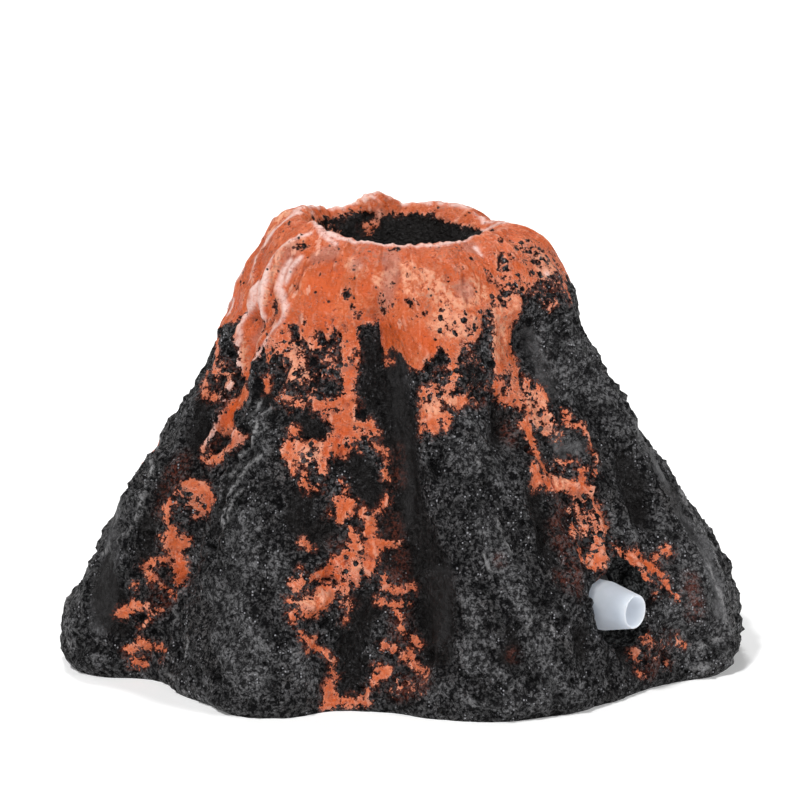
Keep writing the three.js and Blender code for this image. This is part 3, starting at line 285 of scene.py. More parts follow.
# The rest are marks, each point a bearing, a place and a half-width in mm.
# paint below that edge
PAINT = read_paths("""
    174.5 16.52 .58, 166.4 16.1 .58, 164.8 15.68 .44; 164.5 15.4 .58, 160 15.39 .44,
    158.3 15.42 .29; 167.5 15.13 .44, 164.6 14.58 .44, 162.7 14.14 .29; 161.4 14.22 .44,
    158.7 14.39 .44; 157.6 14.91 .44, 158.2 15.47 .44; 158 17.11 .88, 155.3 15.74 .73,
    147.9 14.85 1.17, 154.2 14.27 1.32, 154.7 13.66 1.32, 155.3 13.13 .88; 146.3 13.07 .88,
    140.8 12.87 .73, 143.3 12.47 .73, 152.5 12.05 .58, 154 11.73 .44, 154.4 11.49 .29;
    156.6 12.81 .29, 156 12.16 .29, 155.3 11.62 .22; 140.6 15.62 .58, 139.4 15.22 .51;
    134.6 17.33 1.17, 130.7 17.11 1.32, 128.3 16.69 .88; 129.5 16.17 .88, 130.2 15.77 .58;
    123.1 15.96 .44, 125.2 16 .44; 126.9 15.86 .44, 121.9 15.61 .44; 134.5 14.82 .23,
    130.7 15.01 .23, 127.8 14.91 .29; 128.1 14.72 .51, 125.8 14.87 .44; 112.6 18.2 1.32,
    111.7 17.58 1.32, 110.9 16.88 1.17, 111 16.25 1.02, 110.1 15.69 .58, 108.2 15.24 .44;
    119.5 14.93 .88, 115.6 14.96 .88, 110.8 15.14 1.02, 108.2 14.88 .88; 116.8 14.63 .73,
    113 14.33 1.17, 109.9 14.35 1.46, 109.4 13.81 1.75, 110.2 13.22 1.46; 105.5 14.14 .73,
    102.1 14.16 .73, 100 13.94 .58, 98.3 13.87 .29; 102.5 13.79 .58, 105.7 13.65 .58;
    113.4 13.44 .73, 114.2 12.98 .88, 114.5 12.53 .88, 113.8 12.08 .58; 121.7 13.07 .73,
    119 13.22 .58, 116.4 13.4 .44; 124.4 13 .73, 124.1 12.56 .58, 122.8 12.15 .58,
    121.9 11.86 .37; 120.9 12.64 .73, 118.2 12.39 .58; 118.9 11.93 .44, 118.1 11.5 .58,
    116.4 11.25 .44, 113.2 11.27 .29; 124.8 13.74 .37, 124.2 13.36 .29; 106.7 13.28 .22,
    104.5 12.92 .22; 99.6 13.22 .22, 96.1 13.06 .37, 95.7 12.69 .29; 96.1 12.32 .51,
    95.3 11.86 .44; 107.9 11.54 .29, 106.4 11.18 .37, 106.9 10.82 .29; 96.7 17.08 .44,
    94.3 17.22 .29; 72.8 16.81 .73, 72.7 16.3 .58, 74.1 15.81 .73; 83 15.54 .58, 82.9 14.96 .73,
    83.4 14.31 .58, 84.5 13.72 .29; 79.7 15.71 .58, 79.3 15.16 .88, 80.2 14.5 1.02,
    80.5 13.94 .73; 76 15.69 .58, 75.6 15.14 .73, 74.5 15 .58, 71.2 15.2 .73, 67.6 15.24 .58,
    65.4 15.02 .29; 76.6 14.48 .58, 77 13.91 .44; 72.8 14.77 .44; 44.5 19.55 1.61,
    48.8 18.75 1.9, 50.5 17.83 2.05, 51.5 17.14 2.05, 54.2 16.53 1.17; 46.5 16.88 1.17,
    48 15.92 1.02, 51.2 15.14 1.17, 47 15.01 1.02; 56.4 15.76 .88, 53.9 15.21 .88,
    51.3 14.92 .73; 42.3 15.64 .88, 40.9 15.15 1.32, 41.8 14.59 1.46, 42 14.15 1.46;
    38.4 15.4 .73, 38 14.93 .44; 45.1 14.47 .88, 48.9 13.91 .88, 48.7 13.45 .88, 48.8 12.89 .58,
    49 12.39 .58; 40.6 14.02 1.02, 38.8 13.78 .58; 42 13.51 .73; 51 11.95 .88, 49.9 11.48 1.02,
    52 11.2 .58; 48.1 12.19 .44, 45.5 11.7 .44, 42.8 11.38 .44; 46.7 11.26 1.02,
    41.9 11.09 1.02, 37.9 10.9 .88, 34.9 10.68 1.02, 33.4 10.24 .88, 32.9 9.89 .44;
    34.6 11.37 .58, 34.6 10.92 .73; 39.9 12.14 .44, 37.7 11.97 .44, 35.8 11.98 .29;
    30.8 11.17 .58; 33.5 14.1 .44, 34.8 13.61 .58, 32.8 13.43 .37, 30 13.38 .29; 31.2 13.04 .37,
    30.1 12.5 .37, 29 11.9 .37, 29.4 11.54 .29; 35.3 10.24 1.02, 36.7 9.86 1.02, 37.4 9.34 1.02,
    37.8 8.88 .58; 33.7 9.25 1.02, 33.9 8.69 1.17, 35.4 8.1 1.17, 37.4 7.65 1.17, 41 7.5 .88;
    41.8 9.21 .58, 43.7 8.77 .37; 43.3 8.2 .58, 43.6 7.79 .58; 41.4 9.82 .44; 39.8 6.56 .44;
    31.7 7.85 .29, 30.7 7.5 .44, 28.7 7.21 .88, 26.8 6.84 .88, 25.3 6.6 .88, 23.8 6.26 .58,
    23.5 5.87 .44, 23 5.48 .44, 22.1 4.97 .29; 26.8 7.31 .58; 22.6 6.99 .58; 20.4 7.12 .58,
    19.5 7.01 .44; 27.8 6.41 .44, 28 6.09 .29; 25.3 5.56 .29, 27.1 5.32 .29; 30.8 4.22 .44,
    31.1 3.73 .37, 30.1 3.28 .44, 30.8 3.11 .29; 33 2.7 .58, 32.2 2.35 .29; 24.9 1.77 .44;
    32.7 1.74 .29, 31.4 1.37 .37; 22.7 2.91 .23, 21 2.49 .29; 156.5 10.25 .73, 153.8 10.25 1.32,
    152.2 10.21 1.46; 153.8 9.7 1.17, 151.2 9.91 1.46, 152 9.45 1.32, 153.6 9 .58; 157 9.87 .58,
    158.5 9.45 .58, 158.5 9.02 .51, 158.5 8.5 .44; 157.5 8.15 .73, 157.2 7.66 1.02,
    156.7 7.3 1.17, 154.9 7.54 .58, 154.5 7.79 .73; 160.1 7.7 .44; 156.3 6.84 1.02,
    156 6.28 1.17, 156 5.72 .73, 156.3 5.43 .29; 158.3 6.57 .58, 159.7 6.62 .58, 161.2 6.48 .44,
    162 6.21 .37; 159.1 6.35 .29; 160.3 5.83 .73, 159.9 5.65 .58; 162.3 5.35 .44; 158.2 5.48 .29,
    156.8 5.22 .29, 155.8 5.06 .29; 161.8 4.46 .58, 160.7 4.44 .44, 158.9 4.39 .29; 163 3.8 .29,
    162.5 4.01 .73, 161.9 4.07 .73; 159.9 3.33 .18, 158.5 3.88 .18, 157.3 4.31 .18;
    159.9 2.7 .58, 158.6 2.49 .73, 156.4 2.42 .58, 153.8 2.35 .44; 161.3 2.14 .44,
    160.5 2.27 .44; 160.4 1.53 .58, 158.9 1.48 .58; 154.7 1.82 .29; 107.5 10.65 .88,
    104.7 10.61 .73, 106.3 10.28 1.17, 106.9 10 .88; 109.2 10.04 .44; 105.4 10.19 .88;
    94.2 10.97 .29, 94.5 10.7 .44, 95.7 10.32 .44, 96.9 10.08 .44, 98.3 9.74 .73, 99.1 9.26 .88;
    100.8 10.39 .23, 100.9 10.01 .29; 103.5 9.24 .44, 102.6 8.85 .73; 98.8 8.64 1.32,
    99.9 7.97 1.17, 100.9 7.44 .88; 103.8 8.47 .88, 105.2 7.96 1.17, 106.2 7.44 1.46,
    107.5 6.97 1.46; 103.3 7.74 1.02, 103.9 7.15 .88, 103.4 6.82 .44; 95.6 8.62 .73,
    93.2 8.62 .58, 91.6 8.77 .29; 108.3 7.89 .88, 109.9 7.55 .88, 111.5 7.31 .88, 113.2 7.16 .58;
    116.8 6.92 .88, 115.4 7.1 .58; 109.7 6.62 .88, 110.6 6.17 1.17, 112.5 6 1.32,
    114.6 6.01 1.02; 111.6 6.57 .73, 109.6 6.99 .58; 117.8 6.37 .44, 118.3 6.19 .29;
    116.3 5.76 .58, 116.9 5.5 .58, 116.1 5.19 .29; 114.2 5.64 .73, 111.7 5.47 .29;
    106.5 6.68 .44, 106.4 6.4 .29; 105.5 5.88 .44; 114.8 8.81 .58, 113 8.61 .44; 107.4 5.11 .22,
    105.9 5.15 .22; 115.8 7.72 .29; 96.4 7.09 .58, 96.2 6.77 .58, 94.5 6.54 .44, 92.2 6.65 .44,
    90.3 6.77 .29; 98.5 6.15 .44, 96.5 6.02 .44, 94.5 5.9 .58, 92.5 6.05 .58, 91.7 5.97 .29;
    93.8 5.55 .58, 93.3 5.33 .29; 93.2 4.94 .23, 92.7 4.77 .22, 91.2 4.57 .29, 90.4 4.31 .44,
    89.2 4.2 .29; 90.9 3.93 .44, 90.7 3.51 .58, 89.6 3.18 .44, 88.2 2.93 .29, 86.5 2.81 .22;
    92.1 3.6 .58; 95.6 4.01 .73, 94 3.88 .44; 97 2.84 .73, 95.5 2.7 .58, 97.6 2.41 .58,
    98.3 2.08 .29; 99.5 1.65 .37; 92.8 2.26 .23, 91.3 1.88 .23; 114.5 4.77 .29, 113.2 4.45 .44,
    111.9 4.15 .58, 110.2 3.83 .44, 109.2 3.6 .29; 112.7 3.96 .29; 111.3 4.45 .22;
    107.7 3.28 .29; 107.5 2.67 .44, 106.8 2.35 .44; 108.2 1.85 .73, 107.4 1.47 .88,
    107.3 .91 .88, 109 .72 .58; 104.6 .94 .73, 101.7 1.11 .73, 99.4 1.09 .44; 107.8 2.15 .58;
    244.2 27.42 .58, 250.9 27.52 .58, 245.6 27.76 .51; 42.3 11.28 .73, 39.2 10.94 .8,
    36.1 10.56 .73, 34 10.18 .66, 32.5 9.83 .44; 32.9 9.29 .88, 33.3 8.66 1.02, 35 8.04 .95,
    37.1 7.64 .95, 40.8 7.55 .58; 50.8 19.4 1.32, 49.6 18.5 1.46, 48.7 17.81 1.61,
    50 17.08 1.61; 17.2 20.11 .73, 20.3 19.19 .58; 66 17.47 .23; 66.1 16.4 .2; 63.9 15.56 .23;
    64.2 16.99 .18; 66.8 18.01 .2; 50.9 19.27 1.46, 49.6 18.45 1.75, 48.9 17.72 1.9,
    48.4 17.17 1.61; 343.9 20.63 1.71, 343.7 19.62 1.58, 342.7 18.72 1.5, 343.2 17.71 1.09,
    342.3 16.92 1.56, 340.6 16.09 1.58, 340.5 14.94 1.24, 339.3 14 1.09, 338.2 13.09 .85,
    338 12.42 .88, 338.4 11.41 1.21, 339.6 10.43 .98; 340.8 16.72 .87, 338.3 16.02 .69,
    336.8 15.02 .65, 336.3 13.92 .68; 335.7 8.32 .59; 342.7 9.12 .92; 342.7 9.93 .48;
    343.3 8.94 .94; 333.4 20.15 .91, 332.7 19.17 .92, 331.9 18.04 .85, 330.4 17.17 .89,
    330.2 16.32 .69, 331.6 15.44 .85, 333.6 14.4 .58; 337.3 12.18 .5; 330.8 12.35 .91;
    330.9 11.9 .88; 334.5 13.01 .41; 322.9 20.44 1.88, 321.5 19.49 2.09, 319.6 18.63 1.71,
    317.7 17.81 1.8, 315.9 17.04 2.22, 314.4 16.04 2.16, 313.2 15.08 1.63, 314.4 14.18 1.98,
    315.7 13.49 1.1, 316.6 12.43 1.05; 316.4 10.92 1.19, 317.6 9.9 1.22, 318.7 9.03 1.2,
    319 8 .86, 320.9 7.35 .82, 322.4 6.5 1.32, 322.8 5.53 .99; 314.7 14.88 .85, 317.2 14.18 .75,
    318.7 13.18 .95, 319.2 12.08 .7; 324.3 4.61 .61; 325.6 3.11 .88; 321.8 3.81 .54;
    319.5 3.99 .85; 312 20.06 1.01, 313.1 18.86 1.06, 312.7 18.01 1.06, 313.7 17.15 .78,
    312.9 16.06 1.06, 311.6 15.12 .67; 310.6 13.67 .47; 315.1 14.61 .68; 313 13.56 .84;
    310.2 13.93 .94; 300.3 20.42 1.35, 301 19.71 1.49, 301.5 18.89 1.64, 301.8 17.89 1.38,
    302.7 16.98 1.81, 303.9 16.22 1.78, 304.3 15.37 1.12, 304.1 14.36 1.35, 305 13.61 1.21,
    305.8 12.78 1.17, 306.3 11.94 .8, 305.6 11.2 1.25, 304.1 10.1 .91, 302.8 9.48 1.37,
    301.8 8.41 .96; 302.4 16.02 .97, 299.9 15.32 .61, 298.4 14.32 .9, 297.9 13.22 .56;
    299 7.43 .76; 300.2 7.16 .72; 298.2 6.38 .42; 301.9 7.38 .47; 281.8 19.96 1.52,
    282.3 19.17 1.27, 283 18.37 1.17, 284.3 17.33 1.4, 283.4 16.48 1.27, 284.2 15.46 1,
    283.3 14.56 .76, 282.2 13.8 .92, 280.6 12.76 1.11, 278.9 11.98 .83; 285.8 17.13 .74,
    288.3 16.43 .82, 289.8 15.43 .56, 290.3 14.33 .87; 282 11.1 .62; 281.1 10.63 .47;
    275.9 10.4 .36; 282.4 9.8 .77; 267.7 20.38 2.24, 266.4 19.61 1.77, 265.9 18.81 2.32,
    264.4 17.83 1.69, 263.5 17 1.94, 263.4 16.04 2.19, 263.6 15.3 1.92, 264.6 14.39 2.15,
    266.6 13.69 1.54, 268.8 12.71 1.62, 269.5 11.75 1.52, 269.5 10.96 1.31; 269.6 9.07 1.52,
    270.4 8.38 1.34, 270.3 7.34 1.34, 269.6 6.63 1.09, 269.7 5.83 .98, 268.9 4.79 1.56,
    269.1 3.88 .97; 266.1 14.19 .61, 268.6 13.49 .98, 270.1 12.49 .66, 270.6 11.39 .87;
    265.1 2.5 .42; 272.4 2.63 .44; 267.9 3.09 .6; 270 2.04 .76; 253.9 19.95 .98,
    254.6 19.02 1.28, 253.8 18.32 1.16, 254.2 17.41 .75, 253.7 16.53 .94, 253.9 15.66 .91,
    254.2 14.98 .95, 254.1 13.88 .66; 257.5 13.22 .4; 254.7 12.36 .76; 252.3 11.75 .4;
    251.5 11.99 .4; 241.2 20.4 1.39, 240.2 19.74 1.3, 239.7 18.71 1.8, 239.7 17.83 1.49,
    238.8 16.89 1.41, 239 16.26 1.17, 239.1 15.3 1.62, 240.7 14.42 1.25; 240.2 12.79 1.23,
    238.7 11.7 1.25, 239 10.92 1.41, 237.9 9.98 .97, 237.6 9.09 .99, 237.4 8.25 .88,
    238.9 7.42 1.39; 240.6 15.1 .86, 243.1 14.4 .69, 244.6 13.4 .73, 245.1 12.3 .79;
    236.9 5.06 .63; 241 6.28 .44; 242.7 5 .8; 234.6 5.91 .83; 229.2 20.12 1.65,
    229.5 19.08 1.11, 230.7 18.28 1.16, 229.9 17.39 1.4, 228.3 16.44 1.21, 227.6 15.52 .74,
    226.3 14.72 .76, 224.7 13.66 .66, 224.6 12.92 .78, 225.4 11.97 .71, 226.1 10.86 .83;
    226.8 16.24 .74, 224.3 15.54 .96, 222.8 14.54 .59, 222.3 13.44 .92; 223.5 9.22 .67;
    223 8.61 .54; 224.4 10.2 .53; 225.8 8.86 .57; 214.4 20.41 1.6, 213.2 19.7 1.85,
    211.4 18.92 1.35, 210.6 17.87 2.04, 211.5 16.95 2.12, 211.2 16.25 1.32, 211.2 15.37 1.97,
    212.2 14.42 1.63, 213.6 13.76 1.26, 214.4 12.66 1.22; 213.2 10.97 1.17, 211.6 10.09 1.38,
    211.1 9.23 1.04, 211.5 8.47 1.12, 210.9 7.73 1.31, 211.5 6.74 1.24, 210.6 5.94 1.38,
    209.3 4.98 1.17; 210.7 14.22 .97, 208.2 13.52 .71, 206.7 12.52 .76, 206.2 11.42 .61;
    213.6 4.2 .89; 209.7 3.3 .69; 207.2 2.57 .95; 212.2 3.22 .42; 199.5 20.12 1.55,
    199.5 19.06 1.12, 200.8 18.37 1.07, 201.8 17.26 1.19, 201.1 16.45 1.15, 200.7 15.48 .79,
    201.6 14.78 .66, 201.8 13.82 .83, 202.6 13.11 .94; 200.3 17.06 .61, 197.8 16.36 .75,
    196.3 15.36 .78, 195.8 14.26 .73; 198.6 11.15 .67; 200.3 11.97 .59; 200.2 12.47 .9;
    206.8 11.21 .87; 188.6 20.4 1.44, 189.5 19.49 1.79, 190.3 18.78 1.1, 189.3 17.82 .98,
    188.2 16.94 1.46, 188.4 15.98 .9, 189.8 14.87 1.03, 189.6 14.15 .89, 188.6 13.09 .76,
    188.6 12.21 1, 189.1 11.36 .96, 188.5 10.54 .87, 188.8 9.54 .78; 186.7 16.74 .76,
    184.2 16.04 .58, 182.7 15.04 .96, 182.2 13.94 .58; 192.5 9.03 .7; 189.1 8.15 .69;
    185.8 6.96 .46; 185.9 7.5 .37""")
# bare rock within the paint
GAPS = read_paths("""
    163.4 17.75 .73, 162.3 17.36 .73; 162.7 16.61 .73, 160.2 16.14 1.02, 158.4 15.69 .44;
    160.1 14.9 .88; 154.7 12.77 .66, 154.7 12.42 .51; 139.9 13.46 .44; 145.9 15.57 .58,
    145.3 15.16 .44; 160 18.92 .29, 161.2 18.33 .29; 179.5 18.81 .22; 143.8 19.22 .44,
    141.5 18.85 .44; 148.5 18.2 .15, 149.6 17.53 .18; 142.9 18.45 .15, 144.7 18.09 .15;
    133.4 18.28 .58, 132.4 17.91 .73; 124.5 18.04 .73; 118.8 18.12 .58; 114.7 20.72 .66;
    129.4 17.57 .58, 127.5 17.24 .58; 123.3 17.21 .73, 119.7 17.38 .44; 138.8 15.94 .88,
    136.2 16.19 .73, 132.7 15.99 .58; 132 16.55 .37; 127 16.29 .73; 122 16.57 1.02,
    119.9 16.03 1.02, 116.7 15.72 .88; 116.5 16.29 .58, 116.4 17.06 .51, 116.3 17.53 .37;
    125.4 15.53 .73; 130.3 15.49 .73; 134.2 15.29 .73; 110.5 17.5 .22; 110.4 17.03 .44;
    109.4 17.52 .29; 129.8 18.59 .22; 114.6 18.55 .29; 118.9 18.38 .22; 121.7 12.76 .29;
    116 14.56 .22; 77.5 17.34 .37, 79.9 16.75 1.02, 77 16.54 1.02; 85.2 16.32 .58;
    67.4 17.8 .58; 55.9 19.28 .58, 57.8 18.7 .51, 57.9 18.31 .51; 48.6 20.22 .58,
    46.1 20.48 .44; 44.6 21.59 .26, 43.9 21.34 .26; 50.8 21.64 .41; 39.7 23.19 .29,
    43.3 22.5 .37, 44.1 22.08 .37; 77.3 14.79 .29, 77.5 14.57 .29; 79.4 15.7 .26;
    48 21.42 .15, 47.4 21.12 .15; 34.7 23.88 .29; 56.6 23.15 .22; 81.6 19.54 .29;
    87 20.42 .18; 94.1 20.25 .15; 98.4 19.94 .37; 95.6 21.64 .23; 88.5 22.12 .23;
    96.4 22.48 .19; 81.7 22.36 .19; 111.7 19.89 .2, 109.1 19.4 .23; 95.4 24.16 .26,
    93.1 24.31 .2; 143.1 23.15 .26, 145.3 22.86 .29; 166.8 24.13 .23; 192 26.17 .2,
    193.5 26.58 .2; 169 20.87 .18; 147 23.65 .18; 35.9 10.14 .37; 39.3 8.69 .73, 38 8.43 .58;
    39.2 8.1 .51; 43.2 10.63 .44; 50.3 14.38 .73, 51.4 14.17 .44; 53.4 15.52 .51,
    51 15.67 .37; 55.3 16.07 .37; 39.7 13.59 .58; 39.7 15.68 .37; 40.2 11.59 .44,
    37.3 11.4 .44; 156.2 9.19 .58, 155.7 8.94 .44; 160 2.12 .37; 155.4 2.1 .44;
    157.4 2.38 .22; 113 6.89 .58, 111.6 6.99 .44; 108.8 6.93 .37; 102.3 8.34 .37;
    103.3 9.24 .22; 27.1 22.89 .2, 26.2 22.76 .2; 24.9 22.31 .23; 25.5 21.73 .29;
    25.8 21.39 .2; 22.2 21.68 .2; 17.3 21.56 .35; 10.4 21.37 .44, 10.2 20.92 .37;
    37.6 21.11 .23; 37.6 20.1 .26; 21.9 23.32 .18; 12.1 23.04 .18; 37 22.79 .2;
    26.1 21.05 .26; 33.7 20.53 .2; 48.5 19.75 .37; 52 20.03 .26; 38.3 18.87 .19;
    42.7 18.67 .19; 50.6 18.37 .18; 153.6 9.29 .18, 155.2 8.78 .23; 150.6 9.35 .15,
    152.9 8.78 .2; 158.2 9.6 .22, 156.1 9.92 .15; 155.1 8.08 .37, 153.2 8.38 .58;
    153.4 8.02 .29; 157.9 7.11 .22; 154.8 6.58 .15; 156.4 5.43 .15; 30.1 10.82 .73,
    28.9 10.36 .73; 42 11.78 .38, 39 11.46 .44, 37.3 11.13 .29; 32 10.99 .35; 37.5 8.59 .8;
    38.9 8.05 .53; 38.4 12.46 .88, 34 12.55 .88, 38.2 13.02 .88; 33.2 9.68 .29;
    39.7 23.19 .29; 38.3 23.63 .2; 42 22.73 .35; 43.9 22.15 .35; 44.6 21.59 .29;
    43.2 21.31 .2; 50.8 21.64 .44; 51.6 22.1 .22; 35.3 23.03 .23; 27.1 22.13 .29;
    25.7 21.89 .29; 21.8 21.96 .38; 11.8 21.2 .44; 13.5 20.75 .32; 22.3 23.34 .22;
    24.9 21.4 .32; 23.5 20.83 .38; 30.3 21.52 .29; 30.2 20.49 .44; 39.8 21.03 .22;
    36 21.22 .18; 46.9 20.5 .44; 49.5 20.24 .38; 48.9 19.76 .29; 53.1 19.92 .29;
    43.5 20.84 .32; 42.8 20.42 .29; 39.8 20.4 .32; 36.2 20.77 .22; 10.5 22.32 .22;
    8.5 21.76 .29; 19.9 22.52 .22; 24.1 22.92 .18; 13.8 23.24 .18; 18.7 21.58 .23;
    19 19.64 .22; 39.2 21.56 .2; 40.7 22.21 .16; 33.1 22.17 .18; 28.2 21.09 .29;
    26.9 20.41 .38; 57.2 19.36 .35, 58.7 18.82 .35, 57.9 18.31 .29; 64.2 22.43 .13;
    56.9 23.22 .15; 120 19.03 .12; 340.2 14.99 .4; 337.5 11.08 .47; 341.5 14.63 .42;
    341.7 19.59 .54; 338.6 11.37 .4; 348.8 20.33 1.01; 333.4 19.95 .67; 329.4 17.43 .6;
    332 18.38 .79; 331.6 19.22 .73; 328.5 16.09 .76; 340.8 20.74 1.05; 322.3 19.85 .44;
    312.9 16.02 .76; 318.2 9.05 .64; 318.3 8.26 .44; 322.2 19.31 .48; 328.5 19.66 .62;
    312.9 20.31 .62; 310.1 14.91 .5; 313.9 20.09 .7; 311.7 18.18 .31; 311.2 16.01 .58;
    317.8 21.49 .8; 306.5 13.23 .62; 302.9 9.21 .4; 306.4 11.71 .41; 305.4 13.9 .42;
    306.1 11.08 .39; 303.8 20.82 .98; 283.6 14.31 .59; 285.4 15.27 .76; 284.3 18.29 .75;
    281.4 12.97 .68; 282.1 14.31 .7; 289 19.95 .57; 270.6 10.98 .8; 269.7 12.5 .36;
    269.9 12.81 .48; 267 13.87 .65; 264.1 15.5 .39; 274.2 20.83 .72; 253.7 16.74 .46;
    252.7 18.45 .46; 253.9 18.97 .6; 253.5 16.77 .45; 252.8 16.03 .66; 259.8 21.29 .99;
    237.1 11.45 .41; 241.1 14.4 .55; 236.1 8.07 .39; 240.7 13.14 .58; 240.9 13.44 .78;
    249.2 19.62 1.05; 224.7 10.99 .64; 230.1 18.69 .49; 223.6 13.71 .53; 230.6 20.4 .66;
    224 12.07 .77; 232.4 20.81 .58; 213.6 20.73 .42; 208.8 4.71 .6; 211.2 18.84 .69;
    210.7 17.09 .67; 212.1 10.2 .68; 219.6 20.54 .56; 201.9 14.51 .62; 201.9 15.1 .35;
    199.3 18.4 .78; 198.7 20.3 .31; 199.1 18.69 .71; 207.6 19.91 1; 190.4 9.93 .32;
    191.3 14.22 .3; 187.8 13.8 .69; 187.7 15.97 .32; 188.2 17.22 .64; 193.9 20.53 .63""")
# broken, speckled paint
SPECKLED = read_paths("""
    139.7 17.19 1.75, 127.7 16.32 3.8, 120.2 16.99 2.92; 131.8 14.89 1.75, 122.6 15.27 1.75;
    73 18.97 2.05, 68 18.55 2.05; 66.8 16.9 2.05, 64.4 15.92 2.34; 43.2 20.37 1.46,
    29.7 20.67 2.05, 21.3 20.94 1.75; 28.7 19.4 2.34, 22.8 20.13 1.75; 47.7 16.02 2.05,
    43.5 14.97 1.75; 41.1 13.81 1.75, 38.2 13.02 1.17; 35.7 9.94 1.75, 38.5 8.67 1.75;
    30.4 21.89 1.46, 21.1 22.17 1.75, 14.4 21.51 1.46; 119.5 12.67 1.75, 114.1 12.3 1.17;
    115.5 17.54 1.17; 104.9 7.52 1.75, 103 8.17 .88; 115.8 6.74 1.75; 161 15.41 2.05;
    81.2 15.17 1.75; 74.5 16.06 2.34, 77.5 16.34 1.46; 29.7 2.23 1.46, 24.2 2.99 1.46;
    92.8 1.86 2.05, 87.2 2.01 1.46; 40.3 11.92 1.17; 209.3 27.04 1.75, 220.1 27.59 1.17;
    42.9 22.48 .88, 45 21.39 .88; 58.1 19.02 .88, 53.6 19.86 .73; 98 19.93 .88,
    99.4 21.15 .58; 30.6 23.36 1.17, 24 22.69 1.46, 22.1 21.25 1.46; 51.9 20.1 .88;
    154.2 9.67 1.75; 156 6.76 1.17; 35.5 9.25 1.75, 36.4 7.94 1.17; 106.6 6.12 1.46;
    109 13.46 .58; 195.2 26.6 .88; 66 17.47 1.32, 66.7 16.26 1.32, 64 15.47 1.17;
    20.9 20.26 1.17; 340.5 14.94 2.2, 338.2 13.09 2.4; 339.6 10.43 2.2; 330.4 17.17 2.2,
    330.2 16.32 2.4; 333.6 14.4 2.2; 338 21.75 1.72; 316.6 12.43 2.2, 317.6 9.9 2.4;
    322.8 5.53 2.2; 326.7 21.11 1.84; 313.7 17.15 2.2, 313.7 17.15 2.4; 311.6 15.12 2.2;
    317.1 21.72 2.04; 304.1 14.36 2.2, 306.3 11.94 2.4; 301.8 8.41 2.2; 307.6 21.14 1.9;
    284.2 15.46 2.2, 283.3 14.56 2.4; 278.9 11.98 2.2; 287.1 19.65 1.71; 269.5 11.75 2.2,
    270.4 8.38 2.4; 269.1 3.88 2.2; 271.4 19.68 1.88; 253.7 16.53 2.2, 253.9 15.66 2.4;
    254.1 13.88 2.2; 260.5 19.97 1.29; 241 13.52 2.2, 239 10.92 2.4; 238.9 7.42 2.2;
    227.6 15.52 2.2, 224.7 13.66 2.4; 226.1 10.86 2.2; 234.8 20.83 1.58; 214.4 12.66 2.2,
    211.1 9.23 2.4; 209.3 4.98 2.2; 221.7 21.71 1.99; 201.1 16.45 2.2, 201.6 14.78 2.4;
    202.6 13.11 2.2; 204.2 20.35 2.12; 189.8 14.87 2.2, 188.6 12.21 2.4; 188.8 9.54 2.2""")
# paler paint, partly a painted sheen along ridges of the rim
PALE = read_paths("""
    181.3 24.17 .73, 177.2 22.48 .88, 170.1 20.64 .73, 162.1 18.87 .73; 146.4 23.41 .44,
    150.4 22.18 .73, 150.4 20.71 .88, 150 19.2 .88; 159.1 16.83 .73, 156.9 15.87 .73,
    157.7 14.71 .73; 238.4 24.61 .58, 246.7 25.26 .58; 85.1 21.4 1.75, 78.7 21.45 2.05,
    71.2 20.37 1.75, 60.1 20.86 2.05; 51.2 18.91 1.75, 52.5 17.38 1.75; 76.1 18.83 1.75,
    65 18.76 1.46; 116.2 22.98 .88, 108.8 22.25 .73; 80.6 14.94 1.17, 75 15.13 .88;
    45.6 19.59 1.17; 115.7 6.11 .58, 110.6 6.45 .44; 103.1 7.61 .73; 22.9 21.87 1.75,
    24.5 20.68 1.17; 15.2 18.98 .73; 89.4 22.49 1.46, 100.5 21.78 .88; 129.2 17.24 1.46,
    126.6 15.63 1.17; 118.2 12.7 1.46; 41.5 14.94 1.46, 41.5 11.26 1.17; 341.5 22.18 .98;
    330.1 21.65 1.07; 321.9 22.17 1.18; 313 20.77 1.47; 303.3 21.15 1.44; 279.9 22.74 1.59;
    269.3 22.81 1.52; 252.1 22.61 .92; 241.8 20.91 1.5; 232.2 22.44 1.29; 212.7 20.78 1.27;
    198.6 22.05 .93; 192.2 21.1 1.45""")
